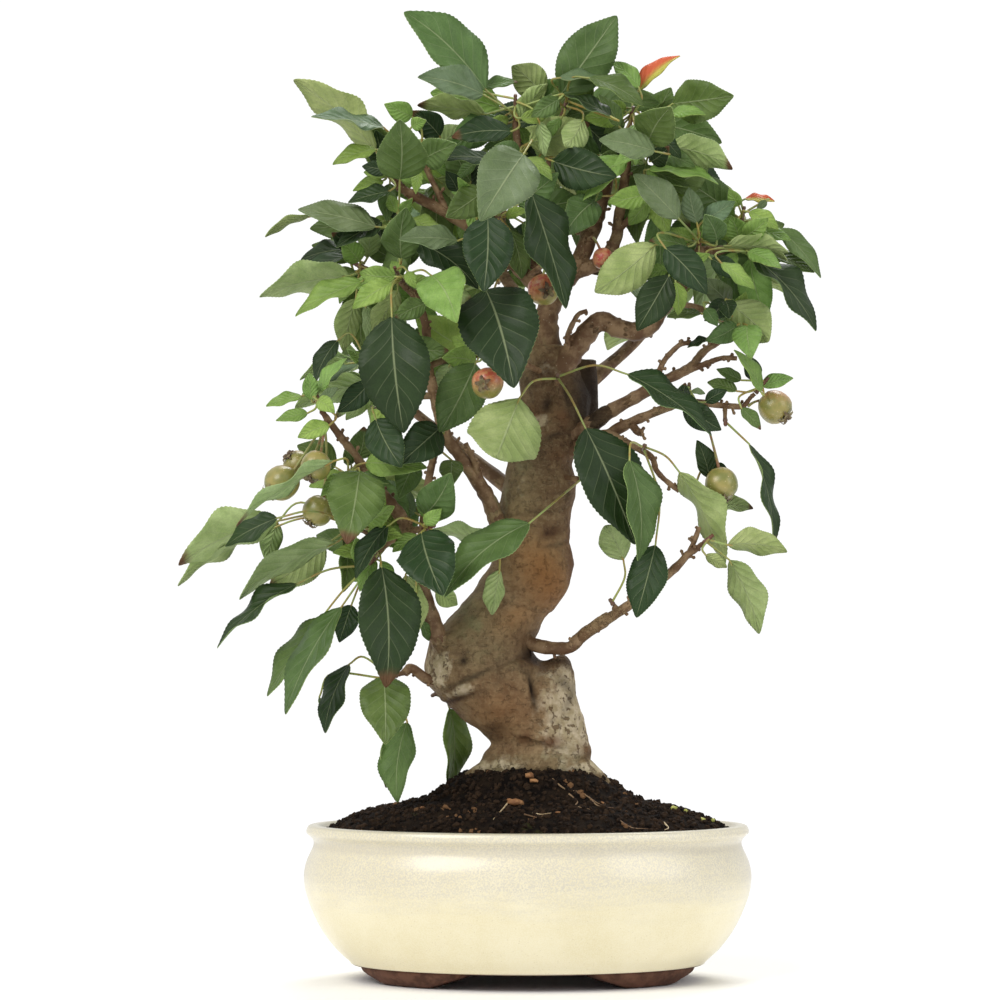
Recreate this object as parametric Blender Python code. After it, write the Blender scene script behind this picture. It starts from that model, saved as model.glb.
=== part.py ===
"""A crabapple bonsai in a glazed oval pot.

Lengths are in millimetres until a mesh is made. X is to the right, Y goes away from the
viewer and Z is up, from the middle of the pot at the ground. Places in the tables are as seen
from the viewing point: x and z in the plane of the trunk, then the depth y. The function
seen() slides such a place along the line of sight to its depth.
"""
import math
import random

import bpy
from mathutils import Matrix, Vector
from mathutils.bvhtree import BVHTree

MM = 0.001
EYE = Vector((-14.0, -1850.0, 180.0))
GAP = 0.3

# Pot: half width at each height, up the outside and down the inside
POT_OUTSIDE = [
    (88.2, 7.5), (96.2, 16.0), (103.7, 26.5), (109.7, 40.0), (111.5, 49.8), (110.4, 58.0),
    (106.8, 66.4), (107.4, 70.0), (110.2, 72.8), (109.4, 75.9), (107.2, 76.6),
]
POT_INSIDE = [
    (103.8, 75.7), (101.6, 67.2), (105.0, 52.0), (103.0, 36.0), (94.5, 20.0), (84.0, 13.0),
]
POT_DEPTH_RATIO = 0.765
POT_SIDES = 32
FOOT_TURNS = [(190, 247), (293, 350), (10, 67), (113, 170)]
FOOT_LEVELS = [(0.0, 17, 79.0, 72.0), (1.2, 12, 82.5, 69.0), (5.0, 3, 85.0, 66.5), (8.5, 0, 86.0, 65.5)]
DRAIN_RADIUS = 7.0
DRAIN_X = 42.0
DRAIN_SIDES = 12

# Soil
SOIL_EDGE_Z = 72.0
MOUND_RISE = 17.0
CROWN_RISE = 15.5
CROWN_REACH = 43.0
SOIL_SIDES = POT_SIDES
SOIL_HALF = 102.3
HOLE_CENTRE = (4.0, 2.0)
HOLE_HALF = (24.0, 17.5)
HOLE_FLOOR_Z = 60.0

# Trunk rings: height, centre x, half width, half depth, centre y
TRUNK = [
    (90, 2, 31, 25, 2), (103, 1.5, 29.5, 22, 2), (111, 4, 26.5, 20, 1), (117, 6.5, 23.3, 19, 0),
    (123, 3, 26.5, 20, 0), (130, -2.5, 31.5, 22, 0), (138, -8.5, 34, 24.5, 0), (147, -14, 36, 26, 0),
    (155, -18, 33.5, 25.5, 0), (162, -22, 28, 24, 0), (169, -22, 26.8, 23, 0), (177, -17, 24.8, 22.5, 0),
    (186, -10, 24.5, 22, 0), (196, -2, 22.8, 20.5, 1), (206, 2.5, 20.5, 19.5, 1), (218, 3.1, 18.3, 18.3, 2),
    (233, 4.3, 18, 17.5, 2), (248, 6.5, 18, 17.5, 2), (256, 6, 16, 16, 2), (268, 9.5, 17, 16, 2),
    (281, 13, 17.8, 16.5, 2), (291, 14, 17, 16, 2), (300, 12.3, 13.8, 14, 1), (316, 10.5, 9.5, 10, 0),
]
TRUNK_SIDES = 12

# Branches: places (x, z, y), then the radius at the root and at the tip, then the sides
BRANCHES = {
    "cut_stub": ([(4, 120, -2), (9, 140, -3), (11, 154, -3), (10, 160.5, -3)], 21, 8.5, 8),
    "dead_stub": ([(21, 262, 7), (28, 276, 10), (29, 292, 10), (29, 309, 9)], 8, 6, 6),
    "low_left": ([(-34, 158, -4), (-43, 166, -12), (-51, 188, -20), (-56, 208, -26), (-59, 221, -29),
                  (-64, 231, -31), (-74, 243.5, -33), (-84, 257.5, -35), (-91, 267, -37),
                  (-96, 273.5, -39), (-103, 283, -41)], 5.0, 1.3, 6),
    "low_left_side": ([(-57, 216, -28), (-66, 219, -30), (-72, 215, -29)], 1.9, 1.2, 4),
    "upright_left": ([(-55, 206, -25), (-52.5, 223, -22), (-51, 238, -18), (-49, 251, -14),
                      (-45, 270, -10), (-44, 286, -8)], 2.4, 1.5, 5),
    "mid_left": ([(0, 216, -4), (-14, 226, -9), (-19, 238, -13), (-25, 248, -16), (-34, 261, -19),
                  (-41, 271, -20), (-46, 288, -20), (-50, 308, -21), (-51, 326, -24), (-56, 340, -27),
                  (-62, 346, -28)], 4.4, 1.5, 6),
    "mid_left_side": ([(-23, 246, -16), (-26, 256, -20), (-31, 267, -22)], 1.8, 1.1, 4),
    "low_right": ([(-6, 172, -4), (4, 166, -12), (20, 164.5, -20), (26, 169.5, -22), (34, 175.5, -24),
                   (42.5, 180.5, -26), (51, 186, -28), (61, 193.5, -30), (74, 204.5, -32),
                   (80, 211, -33), (85, 214.5, -34)], 3.4, 1.6, 5),
    "low_right_up": ([(80, 210, -33), (83, 217, -32), (86, 225, -32)], 1.4, 1.0, 4),
    "snag_left": ([(-40, 148, -6), (-50, 149, -12), (-58, 154.5, -16), (-62, 152, -18)], 2.8, 1.6, 5),
    "high_right": ([(10, 296, 0), (17, 305, -5), (26, 317.5, -9), (36, 328, -11), (46, 324.5, -12),
                    (56, 323, -13), (62.5, 327, -14), (69, 336, -15), (74, 342, -15), (79, 348.5, -14),
                    (81.5, 355, -13), (86, 363, -12), (98, 364, -10), (105, 367.5, -9)], 6.4, 1.6, 6),
    "high_right_side": ([(70, 338, -15), (86, 334.5, -10), (95, 330, -7), (104, 327, -5)], 1.7, 1.1, 4),
    "leader": ([(10.5, 308, 0), (10, 318, 0), (9.5, 331, -2), (16, 345, -3), (24, 355, -3),
                (31, 370, -2), (36, 383.5, 0), (40, 398.5, 2), (42.5, 407, 3)], 7.0, 2.4, 7),
    "leader_right": ([(22, 352, -3), (36, 357.5, -6), (44, 368.5, -8), (46, 381, -9), (48, 393.5, -9),
                      (50, 408.5, -10), (51, 425, -10)], 3.8, 1.6, 6),
    "leader_fork": ([(45, 374, -8), (51, 379, -12), (56, 385, -14), (63, 391, -15)], 1.9, 1.2, 4),
    "leader_left": ([(12, 336, -2), (4, 346, -5), (-6, 356, -7), (-13, 363.5, -8), (-14, 376, -8),
                     (-12, 391, -8), (-7, 405, -9), (-5, 414, -10), (-6, 428, -10)], 4.2, 1.5, 6),
    "thin_upright": ([(6, 350, -3), (3, 359, -4), (4, 369, -5), (9, 388.5, -6), (11, 413, -6)], 2.1, 1.1, 4),
    "red_stub": ([(-12, 364, -8), (-25, 373, -12), (-44, 384.5, -15), (-61, 393.5, -16),
                  (-65, 397, -15)], 3.0, 2.0, 5),
    "red_stub_up": ([(-41, 384, -15), (-45, 393, -13), (-51, 405, -12)], 1.7, 1.1, 4),
    "cross_twig": ([(6, 328, 0), (-15, 327, -2), (-32, 326, -4), (-42, 327.5, -6), (-50, 325, -9),
                    (-57, 317, -12)], 2.0, 1.1, 4),
    "right_main": ([(14, 268, -2), (31, 276, -8), (42.5, 283.5, -10), (56, 291, -11), (69, 298.5, -11),
                    (81, 304.5, -9), (88, 312.5, -7), (96, 318, -4)], 4.6, 1.4, 6),
    "right_arc": ([(62, 294, -11), (66, 303, -15), (69, 309, -16), (76, 316, -16), (82, 317.5, -15)], 1.5, 1.0, 4),
    "right_high_twig": ([(80, 303, -9), (90, 307, -12), (97, 309.5, -13), (105, 309.5, -13)], 1.5, 1.0, 4),
    "right_low": ([(18, 262, -4), (36, 268.5, -12), (47, 275, -16), (58, 280, -18), (69, 284.5, -18),
                   (81, 287.5, -17), (96, 286, -15), (108, 285, -13)], 3.2, 1.2, 5),
    "right_knob": ([(52, 277, -17), (55, 273, -18), (58, 272, -18)], 2.0, 1.6, 4),
    "wiggle": ([(24, 266, -9), (39, 272, -17), (48, 268, -20), (56, 264, -22), (62.5, 259.5, -23),
                (64.5, 253.5, -23), (69, 248.5, -22), (76, 243, -21)], 2.0, 1.1, 4),
    "budded_twig": ([(18, 306, -6), (20, 316, -14), (20.5, 322, -16), (25, 331, -17), (30, 333.5, -17)], 1.5, 0.9, 4),
    "back_left": ([(2, 236, 8), (-16, 250, 24), (-36, 266, 40), (-58, 284, 52), (-74, 300, 58)], 4.6, 1.5, 5),
    "back_mid": ([(9, 312, 4), (2, 330, 20), (-10, 348, 38), (-20, 368, 54), (-26, 388, 62)], 4.4, 1.4, 5),
    "back_right": ([(16, 284, 8), (34, 300, 28), (54, 318, 44), (72, 338, 54), (84, 356, 58)], 4.4, 1.4, 5),
    "back_top": ([(30, 366, 0), (28, 384, 18), (24, 402, 36), (22, 420, 46)], 3.2, 1.3, 5),
}

# Roots on the soil: places in the tree's own frame (x, y, z), then the two radii
ROOTS = [
    ([(-8, -2, 110), (-20, -6, 104), (-29, -8, 98), (-38, -9, 84)], 7, 4),
    ([(14, -2, 110), (27, -6, 104), (35, -8, 97), (45, -9, 84)], 7, 4),
    ([(4, 8, 109), (0, 21, 103), (-6, 31, 95), (-10, 39, 82)], 8, 4),
]

# Leaf rows: base x, base z, tip x, tip z, width, tone, depth at the base.
# Tones: D dark upper face, M mid green, L light underside, B bright young, P pale sheen, O orange.
CLUSTERS = {
    "arch_left": ((-88, 252, -40), [
        (-97, 258, -148, 228, 6, "L", -52), (-84, 253, -90, 218, 28, "M", -50)]),
    "low_left": ((-84, 224, -32), [
        (-125, 229.5, -152, 216, 11, "D", -46), (-125, 228, -175, 207, 20, "L", -30),
        (-133, 222, -176, 197.5, 6, "L", -18), (-125, 227.5, -131, 207.5, 11, "L", -12),
        (-96, 217, -146, 192.5, 12, "L", -22), (-101, 216, -129, 195.5, 20, "L", -8),
        (-92, 220, -91, 192.5, 8.5, "M", -20)]),
    "under_left": ((-75, 211, -30), [
        (-73, 205, -70, 145, 31, "D", -52), (-115, 196.5, -157, 167.5, 8, "D", -34),
        (-103, 179.5, -130, 140.5, 12, "M", -26), (-93, 185, -121, 131.5, 14, "M", -38),
        (-88, 186, -94, 167.5, 12.5, "D", -16)]),
    "snag_left": ((-65, 151, -20), [
        (-89, 156.5, -103, 123, 11, "D", -14), (-72, 150.5, -71, 118, 25, "M", -40),
        (-70, 121, -69, 94.5, 10, "M", -22), (-60, 127.5, -65, 87.5, 17, "M", -28),
        (-104, 140, -101, 124, 4, "M", -4)]),
    "bulge_left": ((-45, 142, 14), [(-39, 134.5, -39, 92.5, 13.5, "M", 8)]),
    "heart": ((-14, 380, -22), [
        (-21, 344, -7, 295.5, 39, "D", -44), (-20, 381, -22, 343, 25, "D", -58)]),
    "centre_left": ((-24, 311, -28), [
        (-26, 307, -44, 272.5, 24, "M", -46), (-26, 307.5, -42, 309.5, 13, "B", -32),
        (-39, 306, -46, 291, 10, "L", -24)]),
    "burr": ((15, 299, -22), [
        (-4, 289.5, -17, 255.5, 36, "L", -60), (29, 274.5, 54, 216.5, 31, "D", -48),
        (50, 301.5, 94, 274, 12, "D", -42)]),
    "trunk_right": ((26, 249, -16), [(1, 227, -42, 191, 19, "M", -50)]),
    "trunk_front": ((-17, 217, -22), [
        (-18, 218.5, -49, 223.5, 9, "L", -28), (-14, 203.5, -18, 181, 10, "L", -34)]),
    "left_mid": ((-72, 286, -30), [
        (-76, 279, -63, 255, 19, "D", -52), (-79, 297.5, -95, 282.5, 12, "D", -36),
        (-95, 318.5, -107, 297.5, 9, "D", -26)]),
    "upright_left": ((-46, 264, -16), [
        (-56, 257, -64, 240, 13, "M", -30), (-38, 258.5, -38, 246, 12, "M", -28),
        (-44, 274.5, -63, 257.5, 20, "D", -42)]),
    "fork_left": ((-52, 224, -38), [
        (-53, 222, -43, 192.5, 29, "D", -58), (-70, 225.5, -86, 199, 11, "D", -44),
        (-61, 201, -57, 166, 12.5, "L", -26), (-46, 192.5, -35, 186, 10, "L", -30),
        (-53, 178, -49, 168, 5, "M", -24)]),
    "out_left": ((-82, 355, -14), [
        (-89, 351, -135, 343, 17.5, "L", -24), (-91, 361, -121, 344.5, 8, "D", -12),
        (-89, 364.5, -114, 360, 8, "D", -4), (-88, 366, -98, 372.5, 9, "D", -14),
        (-83, 348, -117, 332.5, 10.5, "B", -34), (-86, 339.5, -93, 313, 13, "L", -16),
        (-81, 336, -80, 318.5, 7, "L", -10)]),
    "spur_left": ((-63, 348, -30), [
        (-68, 330.5, -62, 272.5, 35, "D", -66), (-68, 347.5, -88, 335, 11.5, "B", -44),
        (-65, 343.5, -78, 319.5, 11, "L", -28), (-51, 337, -66, 329.5, 11, "M", -38),
        (-48, 351, -36, 329, 24, "B", -50), (-60, 353, -56, 345, 6, "B", -46)]),
    "twig_left": ((-59, 315, -14), [(-58, 316, -40, 313.5, 13, "M", -22)]),
    "young_left": ((-104, 286, -43), [
        (-105, 292, -92, 310.5, 6, "B", -46), (-101, 297, -84, 306.5, 4, "P", -40),
        (-108, 288.5, -109, 302.5, 8, "B", -50), (-113, 290.5, -131, 286, 5.5, "B", -48),
        (-110, 282, -126, 278.5, 6.5, "B", -54), (-99, 276, -115, 270, 9, "B", -58),
        (-103, 288.5, -95, 295, 5, "P", -56), (-105, 288.5, -97, 282.5, 8, "B", -60)]),
    "top_left": ((-68, 400, -16), [
        (-76, 413.5, -117, 450, 16, "L", -14), (-72, 425.5, -108, 432, 7, "P", -22),
        (-76, 414.5, -98, 408.5, 7.5, "B", -28), (-70, 403.5, -83, 406, 8, "D", -32),
        (-69, 393.5, -90, 388.5, 8, "D", -26)]),
    "mid_high_left": ((-64, 378, -20), [
        (-76, 375.5, -115, 384.5, 14, "P", -26), (-108, 381, -132, 371.5, 4, "L", -14),
        (-63, 359.5, -61, 385, 19, "M", -38), (-64, 399.5, -64, 429.5, 25, "M", -42)]),
    "twig_high_left": ((-52, 407, -13), [
        (-58, 431, -71, 437, 11, "B", -24), (-58, 426, -51, 429, 7, "B", -30),
        (-52, 409.5, -36, 417, 16, "M", -30), (-44, 421, -58, 433.5, 14, "D", -8)]),
    "crown_left": ((-6, 430, -11), [
        (-21, 444.5, -61, 485, 22.5, "M", -14), (-22, 442, -55, 451, 15, "P", -24),
        (-22, 446, -5, 449, 6, "M", -6), (-21, 432, -55, 438.5, 10, "L", -12),
        (-8, 423.5, -38, 421, 13, "D", -22), (-4, 429.5, 10, 447.5, 10, "L", -10),
        (16, 440, 2, 431, 10, "M", -24), (6, 428.5, 9, 411, 7, "L", -20)]),
    "crown_mid": ((-4, 412, -20), [
        (-2, 412, -23, 379.5, 30, "P", -70), (-16, 408.5, -45, 409.5, 7, "D", -34),
        (-4, 413.5, -16, 416, 9, "M", -30), (-26, 407.5, -36, 399.5, 6, "M", -26),
        (-23, 407.5, -26, 390.5, 7, "D", -22)]),
    "crown_inner": ((-30, 388, -18), [
        (-35, 393.5, -41, 403.5, 8, "D", -24), (-22, 393.5, -40, 381, 17, "M", -30),
        (-35, 368.5, -64, 370, 11, "P", -48)]),
    "upright": ((7, 404, -12), [(2, 392.5, 21, 335.5, 22, "D", -46)]),
    "crown_top": ((18, 434, -8), [
        (17, 442.5, 45, 482, 27, "M", -16), (16, 450.5, 47, 448.5, 5, "P", -26),
        (31, 450.5, 59, 437.5, 9, "M", -32), (28, 429.5, 19, 416, 14, "L", -20),
        (42, 431, 19, 442, 6, "D", -34)]),
    "crown_right": ((52, 430, -12), [
        (56, 445.5, 43, 459.5, 9, "B", -18), (56, 444.5, 76, 462.5, 8, "O", -8),
        (46, 426, 36, 442, 8, "M", -22)]),
    "crown_out": ((60, 414, -18), [
        (73, 437.5, 103, 441.5, 22, "M", -24), (72, 432.5, 89, 433, 6, "B", -34),
        (61, 418.5, 72, 436, 22, "M", -44), (67, 421, 77, 410, 6, "D", -36),
        (62, 408.5, 71, 416, 11, "D", -28), (64, 413.5, 36, 419.5, 14, "P", -52)]),
    "crown_centre": ((42, 409, -2), [
        (46, 409.5, 35, 409.5, 8, "M", -12), (13, 408.5, 44, 401, 21, "D", -24),
        (38, 391, 23, 395, 9, "M", -16), (34, 388.5, 18, 371, 18, "M", -22)]),
    "fork_right": ((64, 393, -16), [
        (61, 404.5, 96, 399, 8, "B", -26), (61, 403.5, 81, 396, 8, "M", -18)]),
    "high_right": ((86, 366, -16), [
        (76, 379.5, 54, 402.5, 15, "P", -40), (85, 377.5, 81, 395.5, 11, "P", -30),
        (88, 378.5, 104, 388.5, 10, "P", -24), (95, 368.5, 89, 381.5, 13, "M", -34),
        (69, 365, 90, 342, 17, "D", -52), (80, 365.5, 61, 368.5, 9, "M", -26)]),
    "tip_right": ((107, 377, -10), [
        (106, 386, 101, 394.5, 7, "B", -14), (109, 389.5, 124, 389.5, 4, "O", -8),
        (120, 388.5, 115, 384.5, 4, "P", -14), (111, 383, 126, 374.5, 8, "B", -20),
        (126, 374.5, 148, 351, 10, "M", -6)]),
    "out_right": ((107, 366, -12), [
        (100, 366, 131, 364.5, 9, "L", -22), (121, 363.5, 144, 353, 7, "M", -2),
        (112, 361, 147, 326, 12, "D", -16), (109, 367, 131, 360, 8, "L", -10),
        (92, 359.5, 107, 349.5, 10, "D", -28), (97, 357.5, 114, 344.5, 7, "B", -36)]),
    "under_right": ((75, 352, -20), [
        (71, 351, 55, 323.5, 18, "D", -40), (64, 366.5, 33, 342, 22, "L", -30)]),
    "mid_right": ((104, 328, -8), [
        (99, 338.5, 89, 328.5, 10, "D", -20), (99, 338.5, 101, 329.5, 9, "D", -26),
        (101, 337, 122, 317, 21, "L", -16), (110, 326, 112, 311, 15, "B", -24),
        (105, 326, 90, 318.5, 11, "M", -22), (89, 334.5, 95, 326, 7, "M", -28),
        (87, 332, 70, 331.5, 5, "M", -22), (90, 319.5, 80, 315.5, 4, "D", -16)]),
    "wiggle": ((58, 264, -26), [
        (51, 258.5, 57, 208.5, 17, "M", -56), (76, 252.5, 100, 206.5, 15, "L", -38),
        (64, 216, 54, 180, 19, "D", -44)]),
    "low_right_spur": ((43, 186, -27), [(48, 208.5, 38, 227, 16, "L", -30)]),
    "low_right": ((88, 217, -35), [
        (101, 208.5, 117, 172, 16, "L", -34), (89, 211, 100, 205, 6, "L", -40),
        (100, 216, 130, 213.5, 12.5, "L", -24)]),
    "hook_right": ((99, 279, -18), [(111, 266.5, 125, 213, 6, "D", -20)]),
    "twig_right": ((81, 291, -20), [
        (78, 286, 97, 273.5, 13, "D", -32), (78, 290.5, 79, 297, 7, "D", -26),
        (82, 293, 89, 292, 3, "P", -30), (89, 287.5, 100, 293.5, 7, "D", -24)]),
    "end_right": ((114, 292, -14), [
        (105, 293, 90, 298.5, 6.5, "M", -20), (107, 298.5, 95, 304.5, 6.5, "M", -16),
        (117, 292.5, 105, 314.5, 6.5, "B", -24), (117, 296, 133, 300, 7.5, "B", -14),
        (107, 284.5, 117, 274, 6.5, "M", -26), (114, 298.5, 110, 311, 9, "D", -8)]),
    "wiggle_end": ((79, 243, -21), [
        (91, 249.5, 85, 268.5, 10, "D", -26), (94, 256, 100, 254, 4, "D", -22),
        (94, 236, 113, 235.5, 7.5, "L", -18)]),
}

# Clusters at the back, which the photograph doesn't show: bud places (x, z, y) and leaf counts
BACK_BUDS = {
    "back_low": ((-66, 296, 62), 5), "back_left": ((-78, 306, 60), 4), "back_mid": ((-26, 392, 66), 5),
    "back_inner": ((-14, 352, 48), 4), "back_right": ((86, 360, 62), 5), "back_side": ((62, 324, 54), 4),
    "back_top": ((22, 424, 50), 5), "back_crown": ((34, 398, 44), 4),
}

# Crabapples: centre x, centre z, depth, radius, root of the pedicel (x, z, y), way the calyx points
APPLES = {
    "apples_left": [
        (-123, 247, -48, 8.4, (-102, 276, -44), (-0.7, -0.5, -0.6)),
        (-115, 256, -36, 7.0, (-102, 276, -44), (-0.6, -0.4, 0.6)),
        (-106, 255.5, -56, 7.2, (-102, 276, -44), (-0.4, -0.3, -0.85)),
        (-105, 233, -38, 7.4, (-102, 276, -44), (-0.5, -0.2, -0.8))],
    "apple_right": [(124, 285, -12, 8.2, (110.5, 285.5, -13), (0.6, -0.4, -0.6))],
    "apple_low_right": [(97, 246.5, -30, 8.0, (87, 284, -20), (0.1, -0.3, -0.9))],
    "apple_top": [(8, 344, -36, 7.6, (10, 358, -28), (0.25, -0.95, -0.15))],
    "apple_centre": [(-20, 297, -62, 7.5, (-8, 310, -34), (-0.3, -0.95, -0.1))],
    "apple_hidden": [(38, 359.5, -24, 5.2, (33, 370, -14), (0.2, -0.5, -0.8))],
}

SHORT_LEAF = 35.0
LONG_LEAF = 60.0
BLADE_THICKNESS = 0.9
PETIOLE_RADIUS = 0.55
NATURAL_RATIO = 0.55
RANDOM_SEED = 7


def seen(x, z, y):
    """The point at depth y that is seen in front of (x, z) in the plane of the trunk."""
    near = 1 + y / -EYE.y
    return Vector((EYE.x + (x - EYE.x) * near, y, EYE.z + (z - EYE.z) * near))


def bezier(start, middle, end, steps):
    """Points on a quadratic curve."""
    points = []
    for step in range(steps + 1):
        t = step / steps
        points.append(start * (1 - t) ** 2 + middle * 2 * t * (1 - t) + end * t * t)
    return points


def tube(path, radii, sides):
    """A closed tube of rings along a path."""
    points = [Vector(p) for p in path]
    tangents = []
    for i in range(len(points)):
        before = points[max(i - 1, 0)]
        after = points[min(i + 1, len(points) - 1)]
        tangents.append((after - before).normalized())
    side = tangents[0].orthogonal().normalized()
    corners = []
    for point, tangent, radius in zip(points, tangents, radii):
        side = (side - tangent * side.dot(tangent)).normalized()
        other = tangent.cross(side)
        for k in range(sides):
            turn = math.tau * k / sides
            corners.append(point + side * (radius * math.cos(turn)) + other * (radius * math.sin(turn)))
    return corners, ring_faces(len(points), sides)


def ring_faces(rings, sides):
    """Faces of a closed body of rings, with both ends capped and the faces looking out."""
    faces = []
    for i in range(rings - 1):
        for k in range(sides):
            after = (k + 1) % sides
            low = i * sides
            high = low + sides
            faces += [(low + k, low + after, high + after), (low + k, high + after, high + k)]
    faces.append(tuple(reversed(range(sides))))
    faces.append(tuple(range((rings - 1) * sides, rings * sides)))
    return faces


def stations(length):
    """Places along a blade and its half width there, as shares of the whole."""
    if length < SHORT_LEAF:
        return [(0.45, 1.0)]
    if length < LONG_LEAF:
        return [(0.3, 0.92), (0.68, 0.85)]
    return [(0.16, 0.7), (0.45, 1.0), (0.78, 0.66)]


def blade_sheet(leaf):
    """Corners of a folded blade: the middle line from base to tip, then the left and right edges."""
    middle = [leaf["base"]]
    left = []
    right = []
    for share, width in stations(leaf["length"]):
        centre = midrib(leaf, share)
        half = width * leaf["width"] / 2
        rise = leaf["normal"] * (half * math.sin(leaf["fold"]))
        out = leaf["side"] * (half * math.cos(leaf["fold"]))
        middle.append(centre)
        left.append(centre + out + rise)
        right.append(centre - out + rise)
    return middle + [leaf["tip"]], left, right


def blade(leaf, thickness):
    """A thin closed blade without its petiole, for keeping other pieces clear of it."""
    middle, left, right = blade_sheet(leaf)
    outline = [middle[0]] + left + [middle[-1]] + right[::-1]
    half = leaf["normal"] * (thickness / 2)
    count = len(outline)
    corners = [p + half for p in outline] + [p - half for p in outline]
    return corners, ring_faces(2, count)


def leaf_body(leaf):
    """A leaf in one closed body: a three-sided petiole that opens into a thin folded blade."""
    stem = petiole_rings(leaf)
    middle, left, right = blade_sheet(leaf)
    sheet = middle[1:] + left + right
    half = leaf["normal"] * (BLADE_THICKNESS / 2)
    corners = stem + [p + half for p in sheet] + [p - half for p in sheet]
    n = len(left)
    upper = len(stem)
    lower = upper + len(sheet)
    top, near, far = upper - 3, upper - 2, upper - 1
    faces = ring_faces(upper // 3, 3)[:-1]

    def both(a, b, c):
        faces.append((upper + c, upper + b, upper + a))
        faces.append((lower + a, lower + b, lower + c))

    first_left = n + 1
    first_right = first_left + n
    faces += [(upper + first_left, upper, top), (upper, upper + first_right, top)]
    faces += [(near, lower, lower + first_left), (near, far, lower), (far, lower + first_right, lower)]
    faces += [(top, near, lower + first_left), (top, lower + first_left, upper + first_left)]
    faces += [(top, upper + first_right, lower + first_right), (top, lower + first_right, far)]
    for i in range(n - 1):
        both(i, i + 1, first_left + i)
        both(i + 1, first_left + i + 1, first_left + i)
        both(i + 1, i, first_right + i)
        both(i + 1, first_right + i, first_right + i + 1)
    both(n - 1, n, first_left + n - 1)
    both(n - 1, first_right + n - 1, n)
    rim = list(range(first_left, first_left + n)) + [n]
    rim += list(reversed(range(first_right, first_right + n)))
    for a, b in zip(rim, rim[1:]):
        faces += [(upper + b, upper + a, lower + a), (upper + b, lower + a, lower + b)]
    return corners, faces


def petiole_rings(leaf):
    """Rings of three corners along the petiole, turned so that the last one fits the blade."""
    points = leaf["petiole"]
    up = leaf["normal"]
    rings = []
    for i in reversed(range(len(points))):
        ahead = leaf["tip"] if i == len(points) - 1 else points[i + 1]
        behind = points[max(i - 1, 0)] if i < len(points) - 1 else points[i]
        way = (ahead - behind).normalized()
        up = (up - way * up.dot(way)).normalized()
        side = way.cross(up)
        ring = [points[i] + (up * math.cos(turn) + side * math.sin(turn)) * PETIOLE_RADIUS
                for turn in (0, math.tau / 3, 2 * math.tau / 3)]
        rings = ring + rings
    return rings


def midrib(leaf, share):
    """A point on the arched midrib."""
    straight = leaf["base"].lerp(leaf["tip"], share)
    return straight + leaf["normal"] * (leaf["arch"] * 4 * share * (1 - share))


def leaf_at(base, tip, width, under, roll):
    """A leaf between two points, its upper face to the viewer, or its underside."""
    axis = (tip - base).normalized()
    view = (EYE - (base + tip) / 2).normalized()
    normal = (view - axis * view.dot(axis)).normalized()
    if under:
        normal = -normal
    turned = [Matrix.Rotation(sign * roll, 3, axis) @ normal for sign in (1, -1)]
    normal = max(turned, key=lambda n: n.z)
    length = (tip - base).length
    return {"base": base, "tip": tip, "length": length, "width": width, "normal": normal,
            "side": axis.cross(normal), "arch": length * 0.05, "fold": math.radians(9)}


def hero_leaf(row, slide, stretch):
    """A leaf of the tables, moved along the line of sight."""
    base_x, base_z, tip_x, tip_z, width, tone, depth = row
    flat = math.hypot(tip_x - base_x, tip_z - base_z)
    natural = NATURAL_RATIO * flat
    roll = 0.0
    reach = 0.12 * flat
    if width > natural:
        long = min(width / 0.62, 1.5 * flat)
        reach = math.sqrt(max(long * long - flat * flat, 0)) + 0.05 * flat
    else:
        roll = math.acos(max(width / natural, 0.35)) * 0.9
        width = max(width / max(math.cos(roll), 0.3), width)
    base = seen(base_x, base_z, depth + slide)
    tip = seen(tip_x, tip_z, depth + slide - reach + stretch)
    return leaf_at(base, tip, width, tone == "L", roll)


def petiole(root, leaf):
    """Points of a petiole that leaves a twig and runs smoothly into the midrib."""
    across = leaf["base"] - root
    axis = (leaf["tip"] - leaf["base"]).normalized()
    reach = across.length
    straight = across.dot(axis) / reach
    steps = 1 if straight > 0.8 and reach < 34 else 2 if straight > 0 else 3
    return bezier(root, leaf["base"] - axis * (0.48 * reach), leaf["base"], steps)


class Space:
    """What has been placed so far, for keeping pieces clear of each other."""

    def __init__(self):
        self.items = []

    def add(self, owner, kind, corners, faces):
        self.items.append((owner, kind, *self.shape(corners, faces)))

    @staticmethod
    def shape(corners, faces):
        low = [min(c[i] for c in corners) for i in range(3)]
        high = [max(c[i] for c in corners) for i in range(3)]
        return BVHTree.FromPolygons(corners, faces), low, high

    def clear(self, owner, kind, corners, faces):
        tree, low, high = self.shape(corners, faces)
        for other, other_kind, other_tree, other_low, other_high in self.items:
            if other == owner and "stem" in (kind, other_kind):
                continue
            apart = any(low[i] > other_high[i] or high[i] < other_low[i] for i in range(3))
            if not apart and tree.overlap(other_tree):
                return False
        return True

    def hidden(self, point):
        """Whether something placed stands between a point and the viewer."""
        way = EYE - point
        return any(tree.ray_cast(point, way)[0] is not None for _, _, tree, _, _ in self.items)


def try_leaf(space, name, root, leaf):
    """Place a leaf if its blade and petiole are clear of everything else."""
    stem_path = petiole(root, leaf)
    count = len(stem_path)
    if not space.clear(name, "blade", *blade(leaf, BLADE_THICKNESS + 1.2)):
        return False
    free = [stem_path[0].lerp(stem_path[1], 0.15)] + stem_path[1:]
    if not space.clear(name, "stem", *tube(free, [PETIOLE_RADIUS + 0.5] * count, 4)):
        return False
    leaf["petiole"] = stem_path
    space.add(name, "blade", *blade(leaf, BLADE_THICKNESS))
    space.add(name, "stem", *tube(stem_path, [PETIOLE_RADIUS] * count, 3))
    return True


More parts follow.
